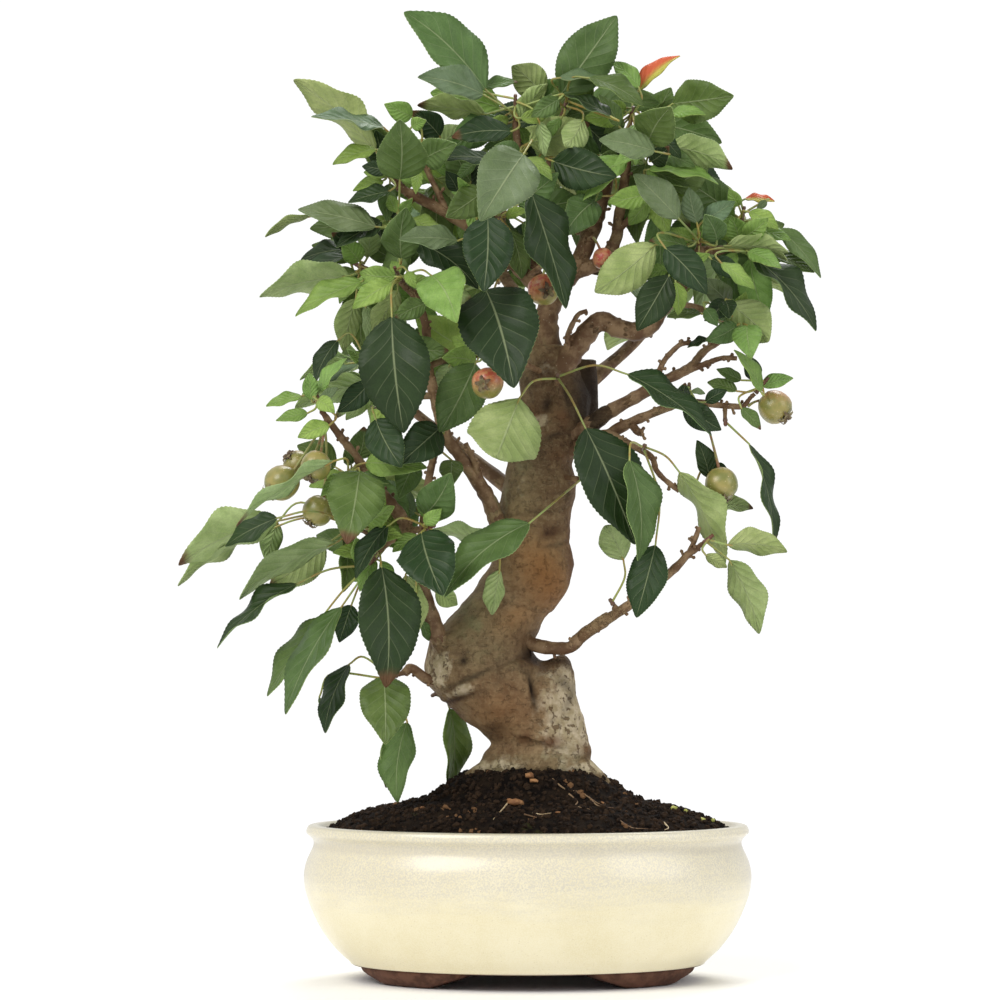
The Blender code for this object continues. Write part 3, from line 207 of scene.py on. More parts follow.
# %% Leaves
# Leaf rows: base x, base z, tip x, tip z, width, tone, depth at the base.
# Tones: D dark upper face, M mid green, L light underside, B bright young, P pale sheen, O orange.
CLUSTERS = {
    "arch_left": ((-88, 252, -40), [
        (-97, 258, -148, 228, 6, "L", -52), (-84, 253, -90, 218, 28, "M", -50)]),
    "low_left": ((-84, 224, -32), [
        (-125, 229.5, -152, 216, 11, "D", -46), (-125, 228, -175, 207, 20, "L", -30),
        (-133, 222, -176, 197.5, 6, "L", -18), (-125, 227.5, -131, 207.5, 11, "L", -12),
        (-96, 217, -146, 192.5, 12, "L", -22), (-101, 216, -129, 195.5, 20, "L", -8),
        (-92, 220, -91, 192.5, 8.5, "M", -20)]),
    "under_left": ((-75, 211, -30), [
        (-73, 205, -70, 145, 31, "D", -52), (-115, 196.5, -157, 167.5, 8, "D", -34),
        (-103, 179.5, -130, 140.5, 12, "M", -26), (-93, 185, -121, 131.5, 14, "M", -38),
        (-88, 186, -94, 167.5, 12.5, "D", -16)]),
    "snag_left": ((-65, 151, -20), [
        (-89, 156.5, -103, 123, 11, "D", -14), (-72, 150.5, -71, 118, 25, "M", -40),
        (-70, 121, -69, 94.5, 10, "M", -22), (-60, 127.5, -65, 87.5, 17, "M", -28),
        (-104, 140, -101, 124, 4, "M", -4)]),
    "bulge_left": ((-45, 142, 14), [(-39, 134.5, -39, 92.5, 13.5, "M", 8)]),
    "heart": ((-14, 380, -22), [
        (-21, 344, -7, 295.5, 39, "D", -44), (-20, 381, -22, 343, 25, "D", -58)]),
    "centre_left": ((-24, 311, -28), [
        (-26, 307, -44, 272.5, 24, "M", -46), (-26, 307.5, -42, 309.5, 13, "B", -32),
        (-39, 306, -46, 291, 10, "L", -24)]),
    "burr": ((15, 299, -22), [
        (-4, 289.5, -17, 255.5, 36, "L", -60), (29, 274.5, 54, 216.5, 31, "D", -48),
        (50, 301.5, 94, 274, 12, "D", -42)]),
    "trunk_right": ((26, 249, -16), [(1, 227, -42, 191, 19, "M", -50)]),
    "trunk_front": ((-17, 217, -22), [
        (-18, 218.5, -49, 223.5, 9, "L", -28), (-14, 203.5, -18, 181, 10, "L", -34)]),
    "left_mid": ((-72, 286, -30), [
        (-76, 279, -63, 255, 19, "D", -52), (-79, 297.5, -95, 282.5, 12, "D", -36),
        (-95, 318.5, -107, 297.5, 9, "D", -26)]),
    "upright_left": ((-46, 264, -16), [
        (-56, 257, -64, 240, 13, "M", -30), (-38, 258.5, -38, 246, 12, "M", -28),
        (-44, 274.5, -63, 257.5, 20, "D", -42)]),
    "fork_left": ((-52, 224, -38), [
        (-53, 222, -43, 192.5, 29, "D", -58), (-70, 225.5, -86, 199, 11, "D", -44),
        (-61, 201, -57, 166, 12.5, "L", -26), (-46, 192.5, -35, 186, 10, "L", -30),
        (-53, 178, -49, 168, 5, "M", -24)]),
    "out_left": ((-82, 355, -14), [
        (-89, 351, -135, 343, 17.5, "L", -24), (-91, 361, -121, 344.5, 8, "D", -12),
        (-89, 364.5, -114, 360, 8, "D", -4), (-88, 366, -98, 372.5, 9, "D", -14),
        (-83, 348, -117, 332.5, 10.5, "B", -34), (-86, 339.5, -93, 313, 13, "L", -16),
        (-81, 336, -80, 318.5, 7, "L", -10)]),
    "spur_left": ((-63, 348, -30), [
        (-68, 330.5, -62, 272.5, 35, "D", -66), (-68, 347.5, -88, 335, 11.5, "B", -44),
        (-65, 343.5, -78, 319.5, 11, "L", -28), (-51, 337, -66, 329.5, 11, "M", -38),
        (-48, 351, -36, 329, 24, "B", -50), (-60, 353, -56, 345, 6, "B", -46)]),
    "twig_left": ((-59, 315, -14), [(-58, 316, -40, 313.5, 13, "M", -22)]),
    "young_left": ((-104, 286, -43), [
        (-105, 292, -92, 310.5, 6, "B", -46), (-101, 297, -84, 306.5, 4, "P", -40),
        (-108, 288.5, -109, 302.5, 8, "B", -50), (-113, 290.5, -131, 286, 5.5, "B", -48),
        (-110, 282, -126, 278.5, 6.5, "B", -54), (-99, 276, -115, 270, 9, "B", -58),
        (-103, 288.5, -95, 295, 5, "P", -56), (-105, 288.5, -97, 282.5, 8, "B", -60)]),
    "top_left": ((-68, 400, -16), [
        (-76, 413.5, -117, 450, 16, "L", -14), (-72, 425.5, -108, 432, 7, "P", -22),
        (-76, 414.5, -98, 408.5, 7.5, "B", -28), (-70, 403.5, -83, 406, 8, "D", -32),
        (-69, 393.5, -90, 388.5, 8, "D", -26)]),
    "mid_high_left": ((-64, 378, -20), [
        (-76, 375.5, -115, 384.5, 14, "P", -26), (-108, 381, -132, 371.5, 4, "L", -14),
        (-63, 359.5, -61, 385, 19, "M", -38), (-64, 399.5, -64, 429.5, 25, "M", -42)]),
    "twig_high_left": ((-52, 407, -13), [
        (-58, 431, -71, 437, 11, "B", -24), (-58, 426, -51, 429, 7, "B", -30),
        (-52, 409.5, -36, 417, 16, "M", -30), (-44, 421, -58, 433.5, 14, "D", -8)]),
    "crown_left": ((-6, 430, -11), [
        (-21, 444.5, -61, 485, 22.5, "M", -14), (-22, 442, -55, 451, 15, "P", -24),
        (-22, 446, -5, 449, 6, "M", -6), (-21, 432, -55, 438.5, 10, "L", -12),
        (-8, 423.5, -38, 421, 13, "D", -22), (-4, 429.5, 10, 447.5, 10, "L", -10),
        (16, 440, 2, 431, 10, "M", -24), (6, 428.5, 9, 411, 7, "L", -20)]),
    "crown_mid": ((-4, 412, -20), [
        (-2, 412, -23, 379.5, 30, "P", -70), (-16, 408.5, -45, 409.5, 7, "D", -34),
        (-4, 413.5, -16, 416, 9, "M", -30), (-26, 407.5, -36, 399.5, 6, "M", -26),
        (-23, 407.5, -26, 390.5, 7, "D", -22)]),
    "crown_inner": ((-30, 388, -18), [
        (-35, 393.5, -41, 403.5, 8, "D", -24), (-22, 393.5, -40, 381, 17, "M", -30),
        (-35, 368.5, -64, 370, 11, "P", -48)]),
    "upright": ((7, 404, -12), [(2, 392.5, 21, 335.5, 22, "D", -46)]),
    "crown_top": ((18, 434, -8), [
        (17, 442.5, 45, 482, 27, "M", -16), (16, 450.5, 47, 448.5, 5, "P", -26),
        (31, 450.5, 59, 437.5, 9, "M", -32), (28, 429.5, 19, 416, 14, "L", -20),
        (42, 431, 19, 442, 6, "D", -34)]),
    "crown_right": ((52, 430, -12), [
        (56, 445.5, 43, 459.5, 9, "B", -18), (56, 444.5, 76, 462.5, 8, "O", -8),
        (46, 426, 36, 442, 8, "M", -22)]),
    "crown_out": ((60, 414, -18), [
        (73, 437.5, 103, 441.5, 22, "M", -24), (72, 432.5, 89, 433, 6, "B", -34),
        (61, 418.5, 72, 436, 22, "M", -44), (67, 421, 77, 410, 6, "D", -36),
        (62, 408.5, 71, 416, 11, "D", -28), (64, 413.5, 36, 419.5, 14, "P", -52)]),
    "crown_centre": ((42, 409, -2), [
        (46, 409.5, 35, 409.5, 8, "M", -12), (13, 408.5, 44, 401, 21, "D", -24),
        (38, 391, 23, 395, 9, "M", -16), (34, 388.5, 18, 371, 18, "M", -22)]),
    "fork_right": ((64, 393, -16), [
        (61, 404.5, 96, 399, 8, "B", -26), (61, 403.5, 81, 396, 8, "M", -18)]),
    "high_right": ((86, 366, -16), [
        (76, 379.5, 54, 402.5, 15, "P", -40), (85, 377.5, 81, 395.5, 11, "P", -30),
        (88, 378.5, 104, 388.5, 10, "P", -24), (95, 368.5, 89, 381.5, 13, "M", -34),
        (69, 365, 90, 342, 17, "D", -52), (80, 365.5, 61, 368.5, 9, "M", -26)]),
    "tip_right": ((107, 377, -10), [
        (106, 386, 101, 394.5, 7, "B", -14), (109, 389.5, 124, 389.5, 4, "O", -8),
        (120, 388.5, 115, 384.5, 4, "P", -14), (111, 383, 126, 374.5, 8, "B", -20),
        (126, 374.5, 148, 351, 10, "M", -6)]),
    "out_right": ((107, 366, -12), [
        (100, 366, 131, 364.5, 9, "L", -22), (121, 363.5, 144, 353, 7, "M", -2),
        (112, 361, 147, 326, 12, "D", -16), (109, 367, 131, 360, 8, "L", -10),
        (92, 359.5, 107, 349.5, 10, "D", -28), (97, 357.5, 114, 344.5, 7, "B", -36)]),
    "under_right": ((75, 352, -20), [
        (71, 351, 55, 323.5, 18, "D", -40), (64, 366.5, 33, 342, 22, "L", -30)]),
    "mid_right": ((104, 328, -8), [
        (99, 338.5, 89, 328.5, 10, "D", -20), (99, 338.5, 101, 329.5, 9, "D", -26),
        (101, 337, 122, 317, 21, "L", -16), (110, 326, 112, 311, 15, "B", -24),
        (105, 326, 90, 318.5, 11, "M", -22), (89, 334.5, 95, 326, 7, "M", -28),
        (87, 332, 70, 331.5, 5, "M", -22), (90, 319.5, 80, 315.5, 4, "D", -16)]),
    "wiggle": ((58, 264, -26), [
        (51, 258.5, 57, 208.5, 17, "M", -56), (76, 252.5, 100, 206.5, 15, "L", -38),
        (64, 216, 54, 180, 19, "D", -44)]),
    "low_right_spur": ((43, 186, -27), [(48, 208.5, 38, 227, 16, "L", -30)]),
    "low_right": ((88, 217, -35), [
        (101, 208.5, 117, 172, 16, "L", -34), (89, 211, 100, 205, 6, "L", -40),
        (100, 216, 130, 213.5, 12.5, "L", -24)]),
    "hook_right": ((99, 279, -18), [(111, 266.5, 125, 213, 6, "D", -20)]),
    "twig_right": ((81, 291, -20), [
        (78, 286, 97, 273.5, 13, "D", -32), (78, 290.5, 79, 297, 7, "D", -26),
        (82, 293, 89, 292, 3, "P", -30), (89, 287.5, 100, 293.5, 7, "D", -24)]),
    "end_right": ((114, 292, -14), [
        (105, 293, 90, 298.5, 6.5, "M", -20), (107, 298.5, 95, 304.5, 6.5, "M", -16),
        (117, 292.5, 105, 314.5, 6.5, "B", -24), (117, 296, 133, 300, 7.5, "B", -14),
        (107, 284.5, 117, 274, 6.5, "M", -26), (114, 298.5, 110, 311, 9, "D", -8)]),
    "wiggle_end": ((79, 243, -21), [
        (91, 249.5, 85, 268.5, 10, "D", -26), (94, 256, 100, 254, 4, "D", -22),
        (94, 236, 113, 235.5, 7.5, "L", -18)]),
}

# %% Leaves at the back, and the fruit
# Clusters at the back, which the photograph doesn't show: bud places (x, z, y) and leaf counts
BACK_BUDS = {
    "back_low": ((-66, 296, 62), 5), "back_left": ((-78, 306, 60), 4), "back_mid": ((-26, 392, 66), 5),
    "back_inner": ((-14, 352, 48), 4), "back_right": ((86, 360, 62), 5), "back_side": ((62, 324, 54), 4),
    "back_top": ((22, 424, 50), 5), "back_crown": ((34, 398, 44), 4),
}

# Crabapples: centre x, centre z, depth, radius, root of the pedicel (x, z, y), way the calyx points
APPLES = {
    "apples_left": [
        (-123, 247, -48, 8.4, (-102, 276, -44), (-0.7, -0.5, -0.6)),
        (-115, 256, -36, 7.0, (-102, 276, -44), (-0.6, -0.4, 0.6)),
        (-106, 255.5, -56, 7.2, (-102, 276, -44), (-0.4, -0.3, -0.85)),
        (-105, 233, -38, 7.4, (-102, 276, -44), (-0.5, -0.2, -0.8))],
    "apple_right": [(124, 285, -12, 8.2, (110.5, 285.5, -13), (0.6, -0.4, -0.6))],
    "apple_low_right": [(97, 246.5, -30, 8.0, (87, 284, -20), (0.1, -0.3, -0.9))],
    "apple_top": [(8, 344, -36, 7.6, (10, 358, -28), (0.25, -0.95, -0.15))],
    "apple_centre": [(-20, 297, -62, 7.5, (-8, 310, -34), (-0.3, -0.95, -0.1))],
    "apple_hidden": [(38, 359.5, -24, 5.2, (33, 370, -14), (0.2, -0.5, -0.8))],
}

SHORT_LEAF = 35.0
LONG_LEAF = 60.0
BLADE_THICKNESS = 0.9
BLADE_FOLD = math.radians(9)
PETIOLE_RADIUS = 0.55
NATURAL_RATIO = 0.55
RANDOM_SEED = 7

# %% [markdown]
# ## Plain shapes
#
# Tubes, rings and thin blades are enough to know where each part of the tree is. They are made
# here only as plain bodies, for keeping leaves clear of twigs, fruit and each other.

# %% Tubes and rings
def seen(x, z, y):
    """The point at depth y that is seen in front of (x, z) in the plane of the trunk."""
    near = 1 + y / -EYE.y
    return Vector((EYE.x + (x - EYE.x) * near, y, EYE.z + (z - EYE.z) * near))


def bezier(start, middle, end, steps):
    """Points on a quadratic curve."""
    points = []
    for step in range(steps + 1):
        t = step / steps
        points.append(start * (1 - t) ** 2 + middle * 2 * t * (1 - t) + end * t * t)
    return points


def tube(path, radii, sides):
    """A closed tube of rings along a path."""
    points = [Vector(p) for p in path]
    tangents = []
    for i in range(len(points)):
        before = points[max(i - 1, 0)]
        after = points[min(i + 1, len(points) - 1)]
        tangents.append((after - before).normalized())
    side = tangents[0].orthogonal().normalized()
    corners = []
    for point, tangent, radius in zip(points, tangents, radii):
        side = (side - tangent * side.dot(tangent)).normalized()
        other = tangent.cross(side)
        for k in range(sides):
            turn = math.tau * k / sides
            corners.append(point + side * (radius * math.cos(turn)) + other * (radius * math.sin(turn)))
    return corners, ring_faces(len(points), sides)


def ring_faces(rings, sides):
    """Faces of a closed body of rings, with both ends capped and the faces looking out."""
    faces = []
    for i in range(rings - 1):
        for k in range(sides):
            after = (k + 1) % sides
            low = i * sides
            high = low + sides
            faces += [(low + k, low + after, high + after), (low + k, high + after, high + k)]
    faces.append(tuple(reversed(range(sides))))
    faces.append(tuple(range((rings - 1) * sides, rings * sides)))
    return faces


# %% Plain blades
def stations(length):
    """Places along a blade and its half width there, as shares of the whole."""
    if length < SHORT_LEAF:
        return [(0.45, 1.0)]
    if length < LONG_LEAF:
        return [(0.3, 0.92), (0.68, 0.85)]
    return [(0.16, 0.7), (0.45, 1.0), (0.78, 0.66)]


def blade(leaf, thickness):
    """A thin closed blade without its petiole, for keeping other pieces clear of it."""
    left = []
    right = []
    for share, width in stations(leaf["length"]):
        centre = midrib(leaf, share)
        half = width * leaf["width"] / 2
        rise = leaf["normal"] * (half * math.sin(BLADE_FOLD))
        out = leaf["side"] * (half * math.cos(BLADE_FOLD))
        left.append(centre + out + rise)
        right.append(centre - out + rise)
    outline = [leaf["base"]] + left + [leaf["tip"]] + right[::-1]
    lift = leaf["normal"] * (thickness / 2)
    return [p + lift for p in outline] + [p - lift for p in outline], ring_faces(2, len(outline))


def midrib(leaf, share):
    """A point on the arched midrib."""
    straight = leaf["base"].lerp(leaf["tip"], share)
    return straight + leaf["normal"] * (leaf["arch"] * 4 * share * (1 - share))


def leaf_at(base, tip, width, under, roll):
    """A leaf between two points, its upper face to the viewer, or its underside."""
    axis = (tip - base).normalized()
    view = (EYE - (base + tip) / 2).normalized()
    normal = (view - axis * view.dot(axis)).normalized()
    if under:
        normal = -normal
    turned = [Matrix.Rotation(sign * roll, 3, axis) @ normal for sign in (1, -1)]
    normal = max(turned, key=lambda n: n.z)
    length = (tip - base).length
    return {"base": base, "tip": tip, "length": length, "width": width, "normal": normal,
            "side": axis.cross(normal), "arch": length * 0.05}


def hero_leaf(row, slide, stretch):
    """A leaf of the tables, moved along the line of sight."""
    base_x, base_z, tip_x, tip_z, width, tone, depth = row
    flat = math.hypot(tip_x - base_x, tip_z - base_z)
    natural = NATURAL_RATIO * flat
    roll = 0.0
    reach = 0.12 * flat
    if width > natural:
        long = min(width / 0.62, 1.5 * flat)
        reach = math.sqrt(max(long * long - flat * flat, 0)) + 0.05 * flat
    else:
        roll = math.acos(max(width / natural, 0.35)) * 0.9
        width = max(width / max(math.cos(roll), 0.3), width)
    base = seen(base_x, base_z, depth + slide)
    tip = seen(tip_x, tip_z, depth + slide - reach + stretch)
    return leaf_at(base, tip, width, tone == "L", roll)


def petiole(root, leaf):
    """Points of a petiole that leaves a twig and runs smoothly into the midrib."""
    across = leaf["base"] - root
    axis = (leaf["tip"] - leaf["base"]).normalized()
    reach = across.length
    straight = across.dot(axis) / reach
    steps = 1 if straight > 0.8 and reach < 34 else 2 if straight > 0 else 3
    return bezier(root, leaf["base"] - axis * (0.48 * reach), leaf["base"], steps)


# %% [markdown]
# ## Keeping leaves apart
#
# On the real tree no leaf grows through another. Each leaf here is tried at the depth that suits
# it, and slides along the line of sight until it crosses nothing. Seen from the front it stays in
# its place. A bounding volume tree makes the test quick.

# %% Room for each leaf
class Space:
    """What has been placed so far, for keeping pieces clear of each other."""

    def __init__(self):
        self.items = []

    def add(self, owner, kind, corners, faces):
        self.items.append((owner, kind, *self.shape(corners, faces)))

    @staticmethod
    def shape(corners, faces):
        low = [min(c[i] for c in corners) for i in range(3)]
        high = [max(c[i] for c in corners) for i in range(3)]
        return BVHTree.FromPolygons(corners, faces), low, high

    def clear(self, owner, kind, corners, faces):
        tree, low, high = self.shape(corners, faces)
        for other, other_kind, other_tree, other_low, other_high in self.items:
            if other == owner and "stem" in (kind, other_kind):
                continue
            apart = any(low[i] > other_high[i] or high[i] < other_low[i] for i in range(3))
            if not apart and tree.overlap(other_tree):
                return False
        return True

    def hidden(self, point):
        """Whether something placed stands between a point and the viewer."""
        way = EYE - point
        return any(tree.ray_cast(point, way)[0] is not None for _, _, tree, _, _ in self.items)


def try_leaf(space, name, root, leaf):
    """Place a leaf if its blade and petiole are clear of everything else."""
    stem_path = petiole(root, leaf)
    count = len(stem_path)
    if not space.clear(name, "blade", *blade(leaf, BLADE_THICKNESS + 1.2)):
        return False
    free = [stem_path[0].lerp(stem_path[1], 0.15)] + stem_path[1:]
    if not space.clear(name, "stem", *tube(free, [PETIOLE_RADIUS + 0.5] * count, 4)):
        return False
    leaf["petiole"] = stem_path
    space.add(name, "blade", *blade(leaf, BLADE_THICKNESS))
    space.add(name, "stem", *tube(stem_path, [PETIOLE_RADIUS] * count, 3))
    return True


# %% Spurs of wood
def nearest_on_wood(place):
    """The nearest point on the middle lines of the branches, and the radius there."""
    best = None
    for points, first, last, _ in BRANCHES.values():
        line = [seen(*p) for p in points]
        for i in range(len(line) - 1):
            along = line[i + 1] - line[i]
            share = max(0.0, min(1.0, (place - line[i]).dot(along) / along.length_squared))
            point = line[i] + along * share
            radius = first + (last - first) * (i + share) / (len(line) - 1)
            if best is None or (place - point).length - radius < best[0]:
                best = ((place - point).length - radius, point, radius)
    for z, x, half_width, half_depth, y in TRUNK:
        point = Vector((x, y, z))
        apart = (place - point).length - min(half_width, half_depth)
        if apart < best[0]:
            best = (apart, point, min(half_width, half_depth))
    return best[1], best[2]


def spur_to(place, short=GAP):
    """Path and radii of a spur of wood that ends just short of a place, and its direction."""
    root, radius = nearest_on_wood(place)
    way = (place - root).normalized()
    end = place - way * short
    thick = min(radius * 0.8, 1.7)
    return [root, end], [thick, max(thick * 0.75, 1.0)], way


# %% Soil
def mound(x, y):
    """Height of the soil."""
    out = min(math.hypot(x, y / POT_DEPTH_RATIO) / (SOIL_HALF + 0.7), 1.0)
    crown = 1 / (1 + math.exp((math.hypot(x - 2, 1.2 * y) - CROWN_REACH) / 5))
    wave = 0.5 * math.sin(x * 0.21 + y * 0.13) * math.cos(y * 0.19 - x * 0.05)
    return SOIL_EDGE_Z + MOUND_RISE * (1 - out ** 4) + CROWN_RISE * crown + wave * (1 - out)


def lump_height(x, y):
    """Uneven lumps on the soil."""
    return 1.3 * noise.noise(Vector((x, y, 0)) / 9) + 0.7 * noise.noise(Vector((x, y, 5)) / 3.2)


def ellipse(centre, half_x, half_y, z, sides):
    """Points on an ellipse at a height."""
    turns = [math.tau * k / sides for k in range(sides)]
    return [Vector((centre[0] + half_x * math.cos(t), centre[1] + half_y * math.sin(t), z)) for t in turns]


def swept_profile(profile, sides):
    """Corners of a profile of half widths and heights, swept round the pot's ellipse."""
    return [c for half, z in profile for c in ellipse((0, 0), half, half * POT_DEPTH_RATIO, z, sides)]


def mound_corners(edge, hole, shares, sides, lumps=0.0):
    """Corners of rings over the soil, from its edge in to the hole at the trunk."""
    outer = swept_profile([(edge, 0)], sides)
    inner = ellipse(HOLE_CENTRE, *hole, 0, sides)
    corners = []
    for share in shares:
        for far, near in zip(outer, inner):
            x, y, _ = far.lerp(near, share)
            corners.append(Vector((x, y, mound(x, y) + lumps * lump_height(x, y) * min(1.0, share * 8))))
    return corners


def soil_body():
    """The plain soil: rings up the side, over the mound and down the hole."""
    wall = [(half - GAP, z) for half, z in reversed(POT_INSIDE[1:])] + [(SOIL_HALF, SOIL_EDGE_Z)]
    wall[0] = (wall[0][0], wall[0][1] + GAP)
    corners = swept_profile(wall, POT_SIDES)
    corners += mound_corners(SOIL_HALF, HOLE_HALF, (0.15, 0.4, 0.62, 0.78, 1.0), POT_SIDES)
    corners += ellipse(HOLE_CENTRE, *HOLE_HALF, HOLE_FLOOR_Z, POT_SIDES)
    return corners, ring_faces(len(corners) // POT_SIDES, POT_SIDES)


# %% Bodies of the trunk, branches and fruit
def trunk_rings(rings, sides):
    """A trunk of level rings, a little uneven round its sides."""
    corners = []
    for z, x, half_width, half_depth, y in rings:
        for k in range(sides):
            turn = math.tau * k / sides
            knobs = 1 + 0.03 * math.sin(3 * turn + z * 0.11) * math.sin(turn) ** 2
            round_y = y + half_depth * knobs * math.sin(turn)
            corners.append(Vector((x + half_width * math.cos(turn), round_y, z)))
    return corners, ring_faces(len(rings), sides)


def taper(first, last, count):
    """Radii of a branch from root to tip, thinning a little faster near the root."""
    return [first + (last - first) * (i / (count - 1)) ** 0.8 for i in range(count)]


def branch_bodies():
    """Tubes of the branches and roots."""
    bodies = []
    for points, first, last, sides in BRANCHES.values():
        bodies.append(tube([seen(*p) for p in points], taper(first, last, len(points)), sides))
    for points, first, last in ROOTS:
        radii = [first + (last - first) * i / (len(points) - 1) for i in range(len(points))]
        bodies.append(tube(points, radii, 5))
    return bodies


def pedicel(centre, down, radius, root, steps):
    """Points of a fruit's stalk, from its spur to the dimple."""
    top = centre - down * (radius * 0.7)
    start = seen(*root)
    bend = start.lerp(top, 0.5) + (Vector((0, 0, 0.6)) - down) * (0.15 * (top - start).length)
    return bezier(start, bend, top, steps)


def apple_bodies(fruit):
    """Bodies of a crabapple: the fruit, its calyx and its pedicel."""
    x, z, y, radius, root, way = fruit
    centre = seen(x, z, y)
    down = Vector(way).normalized()
    rings = [(-0.95, 0.4), (-0.6, 0.86), (0.0, 1.03), (0.62, 0.82), (0.96, 0.3)]
    path = [centre + down * (radius * along * 0.96) for along, _ in rings]
    fruit_body = tube(path, [radius * out for _, out in rings], 8)
    tip = centre + down * (radius * 0.8)
    calyx = tube([tip, tip + down * (radius * 0.42)], [radius * 0.2, radius * 0.34], 4)
    return [fruit_body, calyx, tube(pedicel(centre, down, radius, root, 2), [0.8, 0.7, 0.7], 3)]


def bud_body(place, axis, length):
    """A short knobbly twig that carries a cluster's petioles."""
    return tube([place, place + axis * length], [1.4, 1.0], 3)


def bud_length(count):
    """Length of a leafy twig: room for each petiole."""
    return 2.5 + 1.3 * count


# %% Laying out the tree
def back_leaf(rng, bud):
    """A leaf at the back by a rule: out from the trunk and a little down."""
    out = Vector((bud.x - 8, bud.y, (bud.z - 300) * 0.6)).normalized()
    lean = Vector((rng.uniform(-1, 1), rng.uniform(-0.6, 1), rng.uniform(-0.9, 0.8)))
    way = (out + lean * 0.95).normalized()
    length = rng.uniform(27, 44)
    base = bud + way * rng.uniform(8, 17)
    tip = base + (way + Vector((0, 0, -0.35))).normalized() * length
    leaf = leaf_at(base, tip, length * rng.uniform(0.46, 0.56), False, 0.0)
    axis = (tip - base).normalized()
    up = Vector((rng.uniform(-0.4, 0.4), 0.35, 1))
    leaf["normal"] = (up - axis * up.dot(axis)).normalized()
    leaf["side"] = axis.cross(leaf["normal"])
    return leaf


def lay_out():
    """Place every spur, apple and leaf. Gives the leaf clusters, their buds and the space taken."""
    space = Space()
    for body in [trunk_rings(TRUNK, TRUNK_SIDES)] + branch_bodies():
        space.add("wood", "solid", *body)
    space.add("soil", "solid", *soil_body())
    buds = {}
    places = {name: place for name, (place, _) in (CLUSTERS | BACK_BUDS).items()}
    for name, place in places.items():
        path, radii, way = spur_to(seen(*place))
        space.add("wood", "solid", *tube(path, radii, 3))
        buds[name] = (seen(*place), way)
    for fruits in APPLES.values():
        path, radii, _ = spur_to(seen(*fruits[0][4]), 4 * GAP)
        space.add("wood", "solid", *tube(path, radii, 3))
    for name, fruits in APPLES.items():
        for body in [body for fruit in fruits for body in apple_bodies(fruit)]:
            space.add(name, "solid", *body)
    counts = {name: len(rows) for name, (_, rows) in CLUSTERS.items()}
    counts.update({name: count for name, (_, count) in BACK_BUDS.items()})
    for name, (place, axis) in buds.items():
        length = bud_length(counts[name])
        buds[name] = (place, axis, length)
        space.add(name, "stem", *bud_body(place, axis, length))
    clusters = {name: [] for name in places}
    queue = [(row[6], name, row) for name, (_, rows) in CLUSTERS.items() for row in rows]
    for _, name, row in sorted(queue, key=lambda item: -item[2][4] * 10 + item[0] * 0.01):
        place_hero(space, clusters, name, row, buds[name])
    rng = random.Random(RANDOM_SEED)
    for name, (_, count) in BACK_BUDS.items():
        place_back(space, clusters, name, count, buds[name], rng)
    return clusters, buds, space


def leaf_root(bud, order):
    """Where a petiole starts on its leafy twig."""
    place, axis, length = bud
    return place + axis * min(1.4 + 1.3 * order, length - 1.2)


def place_hero(space, clusters, name, row, bud):
    """Place a leaf of the tables, at the first depth where it is clear."""
    slides = [0]
    for step in range(1, 15):
        slides += [-4 * step, 4 * step]
    for shrink in (1.0, 0.85):
        for slide in slides:
            for stretch in (0, 8, -8, 18, -18):
                fitted = row[:4] + (row[4] * shrink,) + row[5:]
                leaf = hero_leaf(fitted, slide, stretch)
                leaf["tone"] = row[5]
                if try_leaf(space, name, leaf_root(bud, len(clusters[name])), leaf):
                    clusters[name].append(leaf)
                    return
    print("left out", name, row)


def place_back(space, clusters, name, count, bud, rng):
    """Place leaves at the back where the leaves in front hide most of them."""
    for _ in range(260):
        if len(clusters[name]) == count:
            return
        leaf = back_leaf(rng, bud[0])
        leaf["tone"] = "M"
        samples = [midrib(leaf, share) for share in (0.3, 0.6, 1.0)]
        samples += [midrib(leaf, 0.45) + leaf["side"] * leaf["width"] * 0.45 * s for s in (1, -1)]
        if sum(space.hidden(p) for p in samples) < 4:
            continue
        if try_leaf(space, name, leaf_root(bud, len(clusters[name])), leaf):
            clusters[name].append(leaf)


clusters, buds, space = lay_out()
# Painted light: this leaf sits in shade behind the trunk, and the bright young colour stands in for light
# shining through it.
clusters["bulge_left"][0]["tone"] = "B"
print("leaves laid out:", sum(len(leaves) for leaves in clusters.values()))

# %% [markdown]
# ## Filling the crown
#
# A real crown is fuller than the leaves that one can name one by one. Small young leaves stand
# round each bud, and others fill the middle depths. They follow the same rule of keeping clear,
# and stay inside the crown's outline, which a few ovals describe.

# %% More leaves
CROWN_OVALS = [(9, 403, 97, 60), (-69, 338, 60, 52), (101, 352, 40, 36), (-84, 232, 52, 44)]
FILL_TONES = "MMMMMLLLDPBB"
YOUNG_TONES = "BBBM"
FILL_DEPTHS = (8, 16, 26)
FILL_SLIDES = (0, 5, 10, -5, 16, 24, -10, 34)
LOW_Y = -84.0
HIGH_Y = 80.0


def in_crown(x, z):
    """Whether a place, as seen, lies inside the crown."""
    return any(((x - cx) / hx) ** 2 + ((z - cz) / hz) ** 2 < 1 for cx, cz, hx, hz in CROWN_OVALS)


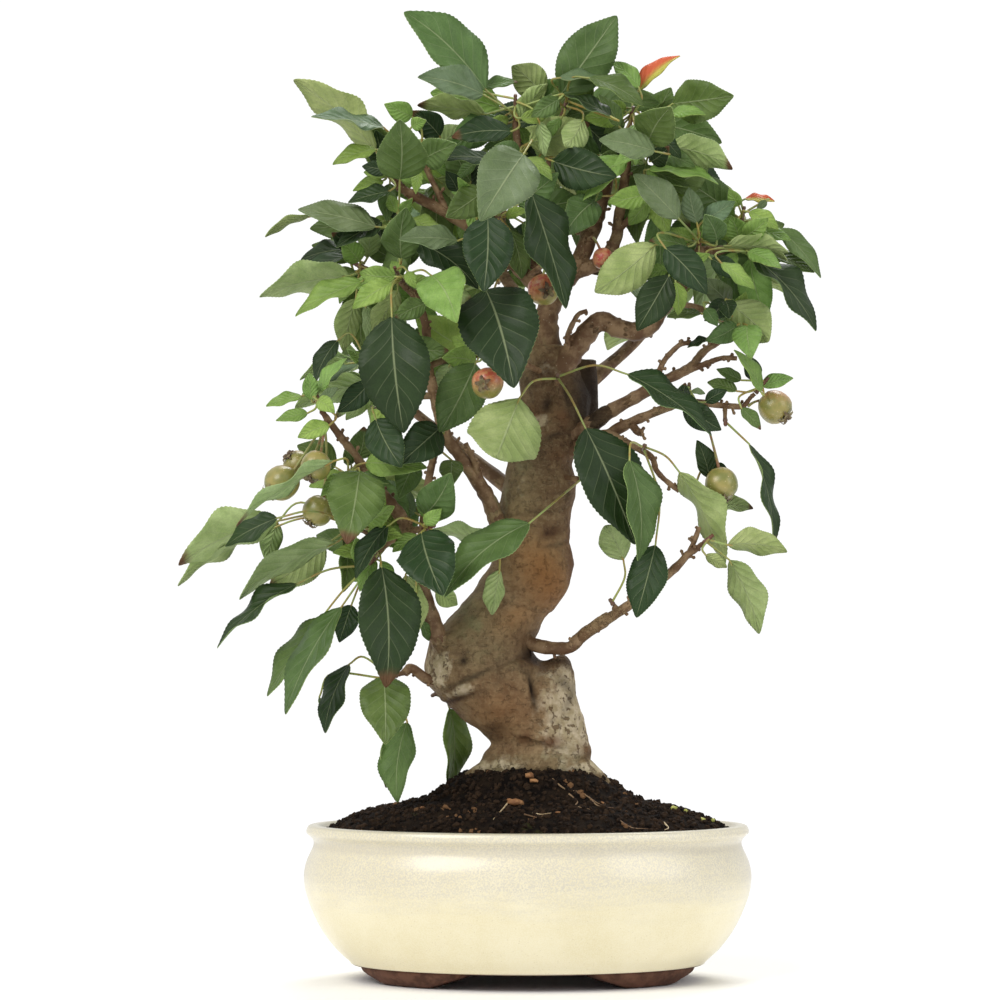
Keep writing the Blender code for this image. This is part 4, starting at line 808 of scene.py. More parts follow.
def fill_row(rng, bud_x, bud_z, depth, small):
    """A leaf row near a bud, inside the crown, or nothing."""
    turn = rng.uniform(0, math.tau)
    length = rng.uniform(11, 21) if small else rng.uniform(24, 42)
    start = rng.uniform(2.5, 5) if small else rng.uniform(5, 13)
    x0 = bud_x + start * math.cos(turn)
    z0 = bud_z + start * math.sin(turn)
    turn += rng.uniform(-0.5, 0.5)
    x1 = x0 + length * math.cos(turn)
    z1 = z0 + length * (math.sin(turn) * 0.8 - 0.2)
    if not (in_crown(x1, z1) and in_crown(x0, z0)):
        return None
    tone = rng.choice(YOUNG_TONES if small else FILL_TONES)
    width = length * rng.uniform(0.42, 0.56)
    depth += rng.uniform(-4, 4)
    return x0, z0, x1, z1, width, tone, depth + (0 if small else rng.choice(FILL_DEPTHS))


def fill_crown(rng, tries):
    """Add leaves to the clusters of the crown."""
    added = 0
    for name, (place, _, _) in buds.items():
        share = (place.y - EYE.y) / -EYE.y
        seen_x = EYE.x + (place.x - EYE.x) / share
        seen_z = EYE.z + (place.z - EYE.z) / share
        if not in_crown(seen_x, seen_z):
            continue
        for number in range(tries):
            row = fill_row(rng, seen_x, seen_z, place.y, number % 3 == 0)
            if row is None:
                continue
            for slide in FILL_SLIDES:
                leaf = hero_leaf(row, slide, rng.choice((0, 10, -10)))
                if not LOW_Y < min(leaf["base"].y, leaf["tip"].y) < HIGH_Y:
                    continue
                leaf["tone"] = row[5]
                if try_leaf(space, name, leaf_root(buds[name], len(clusters[name]) % 5), leaf):
                    clusters[name].append(leaf)
                    added += 1
                    break
    return added


print("leaves added:", fill_crown(random.Random(23), 13))
print("leaves in all:", sum(len(leaves) for leaves in clusters.values()))

# %% [markdown]
# ## Helpers for shader and geometry nodes
#
# A node tree is easier to read when each node is one line. These helpers add a node, set its
# values and link its inputs.

# %% Node helpers
def feed(tree, socket, value):
    """Link a socket to another one, or give it a plain value."""
    if isinstance(value, bpy.types.NodeSocket):
        tree.links.new(value, socket)
    else:
        socket.default_value = value


def add_node(tree, kind, inputs=None, **settings):
    """A node with its settings, values and links. Inputs are given by name or number."""
    node = tree.nodes.new(kind)
    for name, value in settings.items():
        setattr(node, name, value)
    for key, value in (inputs or {}).items():
        feed(tree, node.inputs[key], value)
    return node


def math_node(tree, operation, *values):
    """A number worked out from others."""
    return add_node(tree, "ShaderNodeMath", dict(enumerate(values)), operation=operation).outputs[0]


def vector_node(tree, operation, first, second=None, scale=None):
    """A vector, or its length, worked out from others."""
    node = add_node(tree, "ShaderNodeVectorMath", {0: first}, operation=operation)
    if second is not None:
        feed(tree, node.inputs[1], second)
    if scale is not None:
        feed(tree, node.inputs["Scale"], scale)
    return node.outputs["Value" if operation == "LENGTH" else "Vector"]


def mix_colour(tree, share, first, second, blend="MIX"):
    """Two colours mixed by a share. A plain colour is three numbers."""
    first, second = ((*c, 1.0) if isinstance(c, tuple) else c for c in (first, second))
    return add_node(tree, "ShaderNodeMix", {0: share, 6: first, 7: second},
                    data_type="RGBA", blend_type=blend).outputs[2]


def ramp(tree, value, low, high):
    """A value spread from 0 at low to 1 at high."""
    return add_node(tree, "ShaderNodeMapRange", {0: value, 1: low, 2: high}, clamp=True,
                    interpolation_type="SMOOTHSTEP").outputs[0]


def geometry(tree, kind, inputs=None):
    """The first result of a geometry node."""
    return add_node(tree, "GeometryNode" + kind, inputs).outputs[0]


def new_tree(kind, name, inputs, outputs):
    """A node group with named sockets, then the values that it is given and the results it puts out."""
    group = bpy.data.node_groups.new(name, kind)
    for label, socket_kind, value in inputs:
        socket = group.interface.new_socket(label, in_out="INPUT", socket_type="NodeSocket" + socket_kind)
        if value is not None:
            socket.default_value = value
    for label, socket_kind in outputs:
        group.interface.new_socket(label, in_out="OUTPUT", socket_type="NodeSocket" + socket_kind)
    return group, group.nodes.new("NodeGroupInput").outputs, group.nodes.new("NodeGroupOutput").inputs


# %% Object helpers
def new_object(name, mesh):
    """An object of the scene that shows a mesh or a lamp."""
    made = bpy.data.objects.new(name, mesh)
    bpy.context.scene.collection.objects.link(made)
    return made


def finished_mesh(work, name):
    """A mesh from a bmesh in progress."""
    mesh = bpy.data.meshes.new(name)
    work.to_mesh(mesh)
    work.free()
    return mesh


def settle(made):
    """Turn an object's modifiers into its mesh."""
    graph = bpy.context.evaluated_depsgraph_get()
    graph.update()
    mesh = bpy.data.meshes.new_from_object(made.evaluated_get(graph), depsgraph=graph)
    made.modifiers.clear()
    made.data = mesh


# %% [markdown]
# ## Effects that several finishes share
#
# Blotches break up every natural surface, specks show in glaze, bark, soil and fruit skin, and
# relief gives small bumps. Each is built once as a group with its own sizes.

# %% Blotches
blotch_group, given, result = new_tree(
    "ShaderNodeTree", "Blotches",
    [("Vector", "Vector", None), ("Size", "Float", 20.0), ("Low", "Float", 0.4), ("High", "Float", 0.6),
     ("Detail", "Float", 4.0)],
    [("Mask", "Float"), ("Height", "Float")])
patch = add_node(blotch_group, "ShaderNodeTexNoise", {
    "Vector": given["Vector"], "Scale": given["Size"], "Detail": given["Detail"], "Roughness": 0.6})
feed(blotch_group, result["Mask"], ramp(blotch_group, patch.outputs[0], given["Low"], given["High"]))
feed(blotch_group, result["Height"], patch.outputs[0])

# %% Specks
speck_group, given, result = new_tree(
    "ShaderNodeTree", "Specks",
    [("Vector", "Vector", None), ("Size", "Float", 400.0), ("Reach", "Float", 0.2), ("Share", "Float", 0.5)],
    [("Mask", "Float")])
cells = add_node(speck_group, "ShaderNodeTexVoronoi", {"Vector": given["Vector"], "Scale": given["Size"]})
near = math_node(speck_group, "LESS_THAN", cells.outputs["Distance"], given["Reach"])
chosen = add_node(speck_group, "ShaderNodeSeparateColor", {0: cells.outputs["Color"]})
some = math_node(speck_group, "LESS_THAN", chosen.outputs[0], given["Share"])
feed(speck_group, result["Mask"], math_node(speck_group, "MULTIPLY", near, some))

# %% A finish, laid on in layers
class Finish:
    """A material in progress: its nodes, and the colour laid on so far."""

    def __init__(self, name, roughness, **fixed):
        self.made = bpy.data.materials.new(name)
        self.made.use_nodes = True
        self.tree = self.made.node_tree
        self.shader = self.tree.nodes["Principled BSDF"]
        self.shader.inputs["Roughness"].default_value = roughness
        for label, value in fixed.items():
            self.shader.inputs[label.replace("_", " ")].default_value = value
        self.place = add_node(self.tree, "ShaderNodeTexCoord").outputs["Object"]
        self.colour = None

    def math(self, operation, *values):
        return math_node(self.tree, operation, *values)

    def ramp(self, value, low, high):
        return ramp(self.tree, value, low, high)

    def mixed(self, share, first, second, blend="MIX"):
        return mix_colour(self.tree, share, first, second, blend)

    def stored(self, name, output="Fac"):
        """A named value stored on the mesh."""
        return add_node(self.tree, "ShaderNodeAttribute", attribute_name=name).outputs[output]

    def stretched(self, scale):
        """The piece's coordinates, with a scale for each axis."""
        return add_node(self.tree, "ShaderNodeMapping", {0: self.place, "Scale": scale}).outputs[0]

    def blotches(self, size, low, high, detail=4.0, place=None):
        """The blotch effect: its mask and its height."""
        inputs = {"Vector": self.place if place is None else place, "Size": size, "Low": low, "High": high,
                  "Detail": detail}
        node = add_node(self.tree, "ShaderNodeGroup", inputs, node_tree=blotch_group)
        return node.outputs["Mask"], node.outputs["Height"]

    def specks(self, size, reach, share):
        """The speck effect: its mask."""
        inputs = {"Vector": self.place, "Size": size, "Reach": reach, "Share": share}
        return add_node(self.tree, "ShaderNodeGroup", inputs, node_tree=speck_group).outputs["Mask"]

    def lay(self, mask, colour, strength=1.0):
        """Lay a colour over the colour so far, where the mask lets it show."""
        if strength != 1.0:
            mask = self.math("MULTIPLY", mask, strength)
        self.colour = self.mixed(mask, self.colour, colour)

    def finished(self, height=None, strength=1.0, distance=0.001):
        """Give the colour and the relief to the shader."""
        feed(self.tree, self.shader.inputs["Base Color"], self.colour)
        if height is not None:
            relief = add_node(self.tree, "ShaderNodeBump", {
                "Height": height, "Strength": strength, "Distance": distance})
            feed(self.tree, self.shader.inputs["Normal"], relief.outputs[0])
        return self.made


def mottled(name, roughness, size, spread, dark, light, relief=None, detail=4.0, specks=None, **fixed):
    """A finish of two tones in blotches, with some specks and relief if they are given."""
    plain = Finish(name, roughness, **fixed)
    patches, height = plain.blotches(size, *spread, detail)
    plain.colour = plain.mixed(patches, dark, light)
    if specks:
        speck_size, reach, share, colour = specks
        plain.lay(plain.specks(speck_size, reach, share), colour)
    return plain.finished(height, *relief) if relief else plain.finished()


# %% [markdown]
# ## Leaf finishes
#
# A crabapple leaf is dark and faintly glossy above, and pale and matt below. A light midrib runs
# down it, with side veins that leave it at an angle and curve to the edge. The veins are drawn
# from two values stored on each blade, how far across and how far along a point is, so they
# follow every bend of the leaf.

# %% Veins
vein_group, given, result = new_tree(
    "ShaderNodeTree", "Leaf veins",
    [("Across", "Float", 0.0), ("Along", "Float", 0.0), ("Pairs", "Float", 7.0)],
    [("Midrib", "Float"), ("Side veins", "Float"), ("Height", "Float")])
off_centre = math_node(vein_group, "ABSOLUTE", given["Across"])
midrib_mask = ramp(vein_group, off_centre, 0.045, 0.01)
swept = math_node(vein_group, "POWER", off_centre, 0.8)
lean = math_node(vein_group, "MULTIPLY_ADD", swept, -0.3, given["Along"])
saw = math_node(vein_group, "PINGPONG", math_node(vein_group, "MULTIPLY", lean, given["Pairs"]), 0.5)
fade = ramp(vein_group, off_centre, 1.0, 0.55)
side_mask = math_node(vein_group, "MULTIPLY", ramp(vein_group, saw, 0.05, 0.0), fade)
puff = math_node(vein_group, "POWER", math_node(vein_group, "MULTIPLY", saw, 2.0), 0.5)
height = math_node(vein_group, "MULTIPLY_ADD", midrib_mask, -0.8, puff)
for value, label in ((midrib_mask, "Midrib"), (side_mask, "Side veins"), (height, "Height")):
    feed(vein_group, result[label], value)


# %% Upper and under faces
def leaf_finish(name, colour_name, vein_tint, vein_share, roughness, relief):
    """One face of a leaf: its stored colour, blotches, veins and relief."""
    face = Finish(name, roughness, Specular_IOR_Level=0.27)
    across = face.stored("across")
    along = face.stored("along")
    veins = add_node(face.tree, "ShaderNodeGroup", {"Across": across, "Along": along},
                     node_tree=vein_group).outputs
    plain = face.stored(colour_name, "Color")
    patches, patch_height = face.blotches(90.0, 0.35, 0.7)
    face.colour = face.mixed(patches, face.mixed(1.0, plain, (0.68, 0.74, 0.6), "MULTIPLY"), plain)
    fine, fine_height = face.blotches(1400.0, 0.4, 0.6, 2.0)
    face.lay(fine, face.mixed(1.0, face.colour, (1.16, 1.14, 1.1), "MULTIPLY"))
    tinted = face.mixed(vein_tint, face.colour, (0.42, 0.48, 0.26))
    face.lay(veins["Side veins"], tinted, vein_share)
    face.lay(veins["Midrib"], tinted)
    blush_edge = face.ramp(face.math("MULTIPLY_ADD", patch_height, 0.6, across), -0.1, 0.75)
    face.lay(face.math("MULTIPLY", blush_edge, face.stored("edge_red")), (0.62, 0.12, 0.045))
    near_tip = face.ramp(face.math("MULTIPLY_ADD", patch_height, 0.2, along), 0.93, 1.05)
    face.lay(face.math("MULTIPLY", near_tip, face.stored("tip_brown")), (0.12, 0.06, 0.025))
    rough = face.math("MULTIPLY_ADD", patches, 0.12, roughness - 0.06)
    feed(face.tree, face.shader.inputs["Roughness"], rough)
    return face.finished(face.math("MULTIPLY_ADD", fine_height, 0.35, veins["Height"]), relief, 0.0006)


leaf_upper = leaf_finish("leaf_upper", "upper_colour", 0.42, 0.4, 0.5, 0.6)
leaf_under = leaf_finish("leaf_under", "under_colour", 0.5, 0.7, 0.6, 0.8)

# %% Stalks
stalk = Finish("leaf_stalk", 0.45)
patches, relief = stalk.blotches(160.0, 0.4, 0.65)
stalk.colour = stalk.stored("stalk_colour", "Color")
stalk.lay(patches, stalk.mixed(1.0, stalk.colour, (1.1, 0.62, 0.55), "MULTIPLY"))
leaf_stalk = stalk.finished(relief, 0.2, 0.0003)

# %% [markdown]
# ## One blade to copy
#
# All leaves share one flat blade: an oval with a pointed tip and small forward teeth. It is a thin
# closed sheet of two layers. Each vertex stores how far across and along it is and which layer it
# is in, and the geometry nodes below use those values to bend each copy.

# %% Blade sheet
BLADE_ROWS = 52
BLADE_COLUMNS = [-1.0, -0.62, -0.25, 0.0, 0.25, 0.62, 1.0]
BLADE_TIP_HALF = 0.012
TOOTH_OUT = 0.022
TOOTH_IN = -0.01
TOOTH_LEAN = 0.008


def blade_half_width(along):
    """Half width of the blade as a share of its widest half."""
    swell = max(math.sin(math.pi * along ** 0.82), 0.0) ** 0.78
    pointed = 1.0 - 0.2 * max(0.0, along - 0.72) / 0.28
    return swell * (1.0 - 0.08 * along) * pointed * 1.02


def tooth(row):
    """How far a tooth stands out at a row of the edge."""
    return TOOTH_OUT if row % 2 == 0 else TOOTH_IN


def make_blade_sheet():
    """The flat blade that each leaf copies."""
    sheet = bmesh.new()
    across_layer = sheet.verts.layers.float.new("across")
    along_layer = sheet.verts.layers.float.new("along")
    side_layer = sheet.verts.layers.float.new("layer")
    upper_layer = sheet.faces.layers.int.new("upper_side")
    layers = []
    for layer in (1.0, -1.0):
        grid = []
        for row in range(BLADE_ROWS + 1):
            along = row / BLADE_ROWS
            half = blade_half_width(along)
            line = []
            for column in BLADE_COLUMNS:
                edge = abs(column) == 1.0 and 0 < row < BLADE_ROWS
                reach = half + (tooth(row) * min(1.0, 3 * half) if edge else 0.0)
                forward = along + (TOOTH_LEAN if edge else 0.0)
                vert = sheet.verts.new((column * max(reach, BLADE_TIP_HALF), forward, 0.0))
                vert[across_layer] = column
                vert[along_layer] = along
                vert[side_layer] = layer
                line.append(vert)
            grid.append(line)
        layers.append(grid)
    last = len(BLADE_COLUMNS) - 1
    for number, grid in enumerate(layers):
        for row in range(BLADE_ROWS):
            for column in range(last):
                corners = [grid[row][column], grid[row][column + 1],
                           grid[row + 1][column + 1], grid[row + 1][column]]
                face = sheet.faces.new(corners if number == 0 else corners[::-1])
                face[upper_layer] = 1 - number
    top, bottom = layers
    rim = [(row, last) for row in range(BLADE_ROWS + 1)] + [(BLADE_ROWS, c) for c in range(last - 1, -1, -1)]
    rim += [(row, 0) for row in range(BLADE_ROWS - 1, -1, -1)] + [(0, c) for c in range(1, last)]
    for (row_a, col_a), (row_b, col_b) in zip(rim, rim[1:] + rim[:1]):
        sheet.faces.new([top[row_b][col_b], top[row_a][col_a], bottom[row_a][col_a], bottom[row_b][col_b]])
    for face in sheet.faces:
        face.smooth = True
    return new_object("blade_sheet", finished_mesh(sheet, "blade_sheet"))


blade_sheet_object = make_blade_sheet()
print("blade faces", len(blade_sheet_object.data.polygons))

# %% [markdown]
# ## Growing a cluster with Geometry Nodes
#
# A leafy twig repeats one blade along a path, which is what Geometry Nodes are good at. The input
# is a handful of anchor points: one for each leaf, with the leaf's vectors stored on it, and a
# chain of points for each stalk. The tree copies the blade to the leaf points, bends the copies
# by their stored vectors, and sweeps a round section along the stalks.

# %% Leafy cluster tree
HALF_BLADE = 0.00022


def named(tree, name, kind="FLOAT"):
    """A stored value, read in a geometry tree."""
    node = add_node(tree, "GeometryNodeInputNamedAttribute", {"Name": name}, data_type=kind)
    return node.outputs["Attribute"]


def round_sweep(tree, chains, sides):
    """Chains of points, swept round at the thickness stored on them."""
    line = geometry(tree, "MeshToCurve", {0: chains})
    thick = geometry(tree, "SetCurveRadius", {0: line, "Radius": named(tree, "thickness")})
    ring = geometry(tree, "CurvePrimitiveCircle", {"Resolution": sides, "Radius": 1.0})
    swept = add_node(tree, "GeometryNodeCurveToMesh", {
        "Curve": thick, "Profile Curve": ring, "Fill Caps": True})
    if "Scale" in swept.inputs:
        feed(tree, swept.inputs["Scale"], named(tree, "thickness"))
    return swept.outputs[0]


def make_cluster_tree():
    """Geometry nodes that turn anchor points into leaves and stalks."""
    tree, given, result = new_tree(
        "GeometryNodeTree", "Leafy cluster",
        [("Anchors", "Geometry", None), ("Blade", "Object", None), ("Stalk sides", "Int", 7)],
        [("Leaves", "Geometry")])
    split = add_node(tree, "GeometryNodeSeparateGeometry", {
        "Geometry": given["Anchors"], "Selection": named(tree, "is_leaf", "BOOLEAN")})
    flat_blade = add_node(tree, "GeometryNodeObjectInfo", {"Object": given["Blade"]})
    copies = geometry(tree, "InstanceOnPoints", {
        "Points": split.outputs["Selection"], "Instance": flat_blade.outputs["Geometry"]})
    real = geometry(tree, "RealizeInstances", {0: copies})
    bent = geometry(tree, "SetPosition", {"Geometry": real, "Position": leaf_position(tree)})
    under = geometry(tree, "SetMaterial", {0: bent, "Material": leaf_under})
    upper_side = named(tree, "upper_side", "INT")
    blades = geometry(tree, "SetMaterial", {0: under, "Selection": upper_side, "Material": leaf_upper})
    swept = round_sweep(tree, split.outputs["Inverted"], given["Stalk sides"])
    stalks = geometry(tree, "SetMaterial", {0: swept, "Material": leaf_stalk})
    joined = tree.nodes.new("GeometryNodeJoinGeometry")
    for part in (stalks, blades):
        tree.links.new(part, joined.inputs[0])
    feed(tree, result[0], geometry(tree, "SetShadeSmooth", {0: joined.outputs[0]}))
    return tree


def leaf_position(tree):
    """Where a point of a copied blade goes, from the vectors stored on its leaf."""
    def work(operation, *values):
        return math_node(tree, operation, *values)

    start = named(tree, "leaf_base", "FLOAT_VECTOR")
    flat = geometry(tree, "InputPosition")
    parts = add_node(tree, "ShaderNodeSeparateXYZ", {0: vector_node(tree, "SUBTRACT", flat, start)})
    sideways = parts.outputs[0]
    forward = parts.outputs[1]
    hump = work("MULTIPLY", forward, work("SUBTRACT", 1.0, forward))
    lift = work("MULTIPLY", hump, work("MULTIPLY", named(tree, "arch"), 4.0))
    lift = work("MULTIPLY_ADD", work("ABSOLUTE", sideways), named(tree, "fold_rise"), lift)
    wave = work("SINE", work("MULTIPLY_ADD", forward, 11.0, named(tree, "phase")))
    wave = work("MULTIPLY", wave, work("MULTIPLY", sideways, sideways))
    lift = work("MULTIPLY_ADD", wave, named(tree, "ripple"), lift)
    lift = work("MULTIPLY_ADD", work("POWER", forward, 3.0), named(tree, "tip_curl"), lift)
    turned = work("MULTIPLY", sideways, work("SUBTRACT", forward, 0.35))
    half_width = vector_node(tree, "LENGTH", named(tree, "leaf_side", "FLOAT_VECTOR"))
    lift = work("MULTIPLY_ADD", work("MULTIPLY", turned, half_width), named(tree, "twist"), lift)
    lift = work("MULTIPLY_ADD", named(tree, "layer"), HALF_BLADE, lift)
    sideways = work("ADD", sideways, work("MULTIPLY", hump, named(tree, "side_bend")))
    place = start
    for direction, amount in (("leaf_axis", forward), ("leaf_side", sideways), ("leaf_normal", lift)):
        part = vector_node(tree, "SCALE", named(tree, direction, "FLOAT_VECTOR"), scale=amount)
        place = vector_node(tree, "ADD", part, place)
    return place


cluster_tree = make_cluster_tree()

# %% Leaf colours
# The P tone is a paler, greyer green than M: painted sheen, on top of the shader's own gloss.
UPPER_COLOURS = {
    "D": (0.02, 0.044, 0.012), "M": (0.105, 0.17, 0.048), "L": (0.1, 0.16, 0.046), "B": (0.24, 0.37, 0.09),
    "P": (0.15, 0.21, 0.11), "O": (0.5, 0.46, 0.08),
}
UNDER_COLOURS = {
    "D": (0.2, 0.28, 0.11), "M": (0.28, 0.38, 0.14), "L": (0.36, 0.45, 0.19), "B": (0.36, 0.5, 0.15),
    "P": (0.33, 0.42, 0.23), "O": (0.5, 0.45, 0.12),
}
STALK_GREEN = (0.3, 0.36, 0.1)
STALK_RED = (0.3, 0.13, 0.06)
YOUNG_WOOD = (0.13, 0.075, 0.045, 1.0)


def varied(rng, colour, spread):
    """A colour a little lighter or darker, and a little more or less yellow."""
    light = rng.uniform(1 - spread, 1 + spread)
    warm = rng.uniform(1 - spread * 0.6, 1 + spread * 0.6)
    return (colour[0] * light * warm, colour[1] * light, colour[2] * light / warm, 1.0)


# %% Anchors of a cluster
def smooth_chain(points, steps):
    """A rounder path through a few points."""
    if len(points) == 2:
        return [points[0].lerp(points[1], i / steps) for i in range(steps + 1)]
    chain = []
    ends = [points[0] * 2 - points[1]] + list(points) + [points[-1] * 2 - points[-2]]
    for i in range(1, len(ends) - 2):
        a, b, c, d = ends[i - 1:i + 3]
        for step in range(steps):
            t = step / steps
            chain.append(0.5 * (2 * b + (c - a) * t + (2 * a - 5 * b + 4 * c - d) * t * t
                                + (3 * b - a - 3 * c + d) * t ** 3))
    return chain + [points[-1]]


class Chains:
    """Points in progress, some of them joined in chains, with the values stored on each."""

    def __init__(self):
        self.points = []
        self.edges = []

    def point(self, place, **own):
        self.points.append((tuple(place), own))

    def chain(self, path, radii, **own):
        first = len(self.points)
        for place, radius in zip(path, radii):
            self.point(placed(place), thickness=radius * MM, **own)
        self.edges += [(first + i, first + i + 1) for i in range(len(path) - 1)]

    def built(self, name, kinds):
        """An object of the points. Each kind has a type, a field, a plain value and names."""
        mesh = bpy.data.meshes.new(name)
        mesh.from_pydata([place for place, _ in self.points], self.edges, [])
        for kind, field, plain, keys in kinds:
            for key in keys:
                bank = [own.get(key, plain) for _, own in self.points]
                if field != "value":
                    bank = [number for entry in bank for number in entry]
                mesh.attributes.new(key, kind, "POINT").data.foreach_set(field, bank)
        return new_object(name, mesh)


TWIG_VALUES = [("FLOAT", "value", 0.0, ("thickness",))]
LEAF_VALUES = TWIG_VALUES + [
    ("BOOLEAN", "value", False, ("is_leaf",)),
    ("FLOAT", "value", 0.0, ("arch", "fold_rise", "phase", "ripple", "tip_curl", "side_bend", "tip_brown",
                             "edge_red", "twist")),
    ("FLOAT_VECTOR", "vector", (0, 0, 0), ("leaf_base", "leaf_axis", "leaf_side", "leaf_normal")),
    ("FLOAT_COLOR", "color", (1, 1, 1, 1), ("upper_colour", "under_colour", "stalk_colour")),
]


def cluster_anchors(name, leaves, bud, rng):
    """A mesh of leaf points and stalk chains, with each leaf's values stored on its point."""
    work = Chains()
    place, axis, length = bud
    steps = max(4, int(length / 0.9))
    path = [place + axis * (length * i / steps) for i in range(steps + 1)]
    radii = [1.2 - 0.45 * i / steps + (0.22 if i % 2 else 0) for i in range(steps + 1)]
    work.chain(path, radii, stalk_colour=YOUNG_WOOD)
    for leaf in leaves:
        base = placed(leaf["base"])
        tone = leaf["tone"]
        young = tone in "BPO"
        size = leaf["length"] * MM
        half = leaf["width"] / 2 * MM
        work.point(
            base, is_leaf=True, leaf_base=base, leaf_axis=(leaf["tip"] - leaf["base"]) * MM,
            leaf_side=-leaf["side"] * half, leaf_normal=leaf["normal"],
            arch=leaf["arch"] * MM * rng.uniform(0.6, 1.3), fold_rise=half * rng.uniform(0.12, 0.3),
            phase=rng.uniform(0, 6.3), ripple=size * rng.uniform(0.025, 0.07) * (0.8 if young else 1.0),
            tip_curl=-size * rng.uniform(0.0, 0.1), side_bend=rng.uniform(-0.7, 0.7),
            tip_brown=1.0 if rng.random() < 0.2 and not young else 0.0,
            edge_red=1.0 if tone == "O" else 0.0, twist=rng.uniform(-0.55, 0.55),
            upper_colour=varied(rng, UPPER_COLOURS[tone], 0.16),
            under_colour=varied(rng, UNDER_COLOURS[tone], 0.12))
        stem = smooth_chain(leaf["petiole"], 6)
        inner = [leaf["base"].lerp(leaf["tip"], share) for share in (0.04, 0.09)]
        count = len(stem)
        radii = [0.62 - 0.14 * min(i / count, 1.0) for i in range(count)] + [0.42, 0.2]
        short = rng.random() < 0.3 and (stem[0] - stem[-1]).length < 16 * MM
        work.chain(stem + inner, radii, stalk_colour=varied(rng, STALK_RED if short else STALK_GREEN, 0.15))
    return work.built(name, LEAF_VALUES)


# %% Running a tree
def set_input(modifier, label, value):
    """Set a modifier's input by its socket's identifier."""
    for item in modifier.node_group.interface.items_tree:
        if item.name == label and item.in_out == "INPUT":
            modifier[item.identifier] = value


def grow(made, tree, **inputs):
    """Run a geometry tree on an object and keep the result as a plain mesh."""
    modifier = made.modifiers.new("grow", "NODES")
    modifier.node_group = tree
    for label, value in inputs.items():
        set_input(modifier, label.replace("_", " "), value)
    settle(made)
    return made


def keep_inside(made):
    """Draw in what bends past the frame's box, gently over the last stretch before it."""
    stretch = 0.015
    margin = 0.0003
    for axis in range(3):
        for sign, edge in ((1, cad_box[1][axis]), (-1, -cad_box[0][axis])):
            reach = max(sign * v.co[axis] for v in made.data.vertices)
            if reach <= edge - margin:
                continue
            start = edge - stretch
            for vertex in made.data.vertices:
                out = sign * vertex.co[axis]
                if out > start:
                    share = (out - start) / (reach - start)
                    vertex.co[axis] = sign * (start + share * (stretch - margin))


# %% Grow every cluster
rng = random.Random(11)
for name, leaves in clusters.items():
    node = "leaves_" + name
    piece = cluster_anchors("foliage_" + name, leaves, buds[name], rng)
    grow(piece, cluster_tree, Blade=blade_sheet_object)
    keep_inside(piece)
    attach(piece, "root")
    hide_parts(node)
print("foliage pieces", len(clusters))

# %% [markdown]
# ## Bark
#
# The trunk is old and smooth, grey-brown with a pink tinge, with pale rubbed places, green algae
# low down, dark knots and fine wrinkles across. Young twigs are darker and redder with small
# pale pores.

# %% Bark finishes
skin = Finish("bark", 0.72, Specular_IOR_Level=0.2)
broad = skin.blotches(28.0, 0.38, 0.62, 6.0)[0]
fine, fine_height = skin.blotches(260.0, 0.35, 0.65, 8.0)
wrinkle = add_node(skin.tree, "ShaderNodeTexNoise", {
    "Vector": skin.stretched((55.0, 55.0, 330.0)), "Scale": 1.0, "Detail": 6.0, "Roughness": 0.7}).outputs[0]
skin.colour = skin.mixed(broad, (0.155, 0.092, 0.046), (0.33, 0.235, 0.125))
skin.lay(fine, (0.12, 0.065, 0.03), 0.5)
# Painted shade in the troughs of the fine wrinkles, where the relief is lowest.
skin.lay(skin.math("SUBTRACT", 1.0, skin.ramp(wrinkle, 0.36, 0.5)), (0.07, 0.042, 0.026), 0.35)
skin.lay(skin.blotches(620.0, 0.52, 0.62, 3.0)[0], (0.3, 0.22, 0.12), 0.45)
edge_break = skin.blotches(150.0, 0.3, 0.7, 8.0)[0]
pale_share = skin.ramp(skin.math("MULTIPLY_ADD", edge_break, 0.45, skin.stored("pale")), 0.5, 0.85)
skin.lay(pale_share, skin.mixed(fine, (0.6, 0.5, 0.35), (0.4, 0.32, 0.19)))
dark_crumbs = skin.blotches(330.0, 0.55, 0.63, 5.0)[0]
skin.lay(skin.math("MULTIPLY", dark_crumbs, pale_share), (0.12, 0.07, 0.035), 0.85)
algae = skin.blotches(75.0, 0.5, 0.66, 6.0)[0]
green_zone = skin.math("MULTIPLY", skin.math("MULTIPLY_ADD", algae, 0.6, 0.35), skin.stored("mossy"))
skin.lay(green_zone, (0.215, 0.2, 0.1))
warm_zone = skin.math("MULTIPLY", skin.math("MULTIPLY_ADD", broad, 0.45, 0.4), skin.stored("warm"))
skin.lay(warm_zone, (0.36, 0.17, 0.055))
skin.lay(skin.stored("ruddy"), (0.15, 0.06, 0.022), 0.85)
# Near-black tint: dark dead wood and knots, and painted shade in the cracks, pits, creases and deep hollows
# of the skin.
skin.lay(skin.stored("dark_wood_and_shade"), (0.022, 0.013, 0.008))
relief = skin.math("MULTIPLY_ADD", wrinkle, 0.45, skin.math("MULTIPLY", fine_height, 0.8))
bark = skin.finished(skin.math("MULTIPLY_ADD", dark_crumbs, -0.3, relief), 1.0, 0.0016)

twig_bark = mottled("twig_bark", 0.6, 120.0, (0.4, 0.62), (0.13, 0.07, 0.035), (0.27, 0.175, 0.095),
                    (0.5, 0.0008), specks=(620.0, 0.16, 0.3, (0.32, 0.25, 0.17)), Specular_IOR_Level=0.25)


# %% [markdown]
# ## Trunk
#
# The trunk bends left, bulges and turns back to the right, with an old cut stub on its shoulder.
# Its rings and the thick ends of the branches and roots are laid over each other as tubes, and a
# voxel remesh melts them into one skin, as wood grows together. Noise then moves the skin in and
# out: broad swellings first, then knots and folds.

# %% Join plain bodies
def coated(made, finish):
    """Give an object its finish, with smooth faces."""
    made.data.materials.append(finish)
    made.data.shade_smooth()
    return made


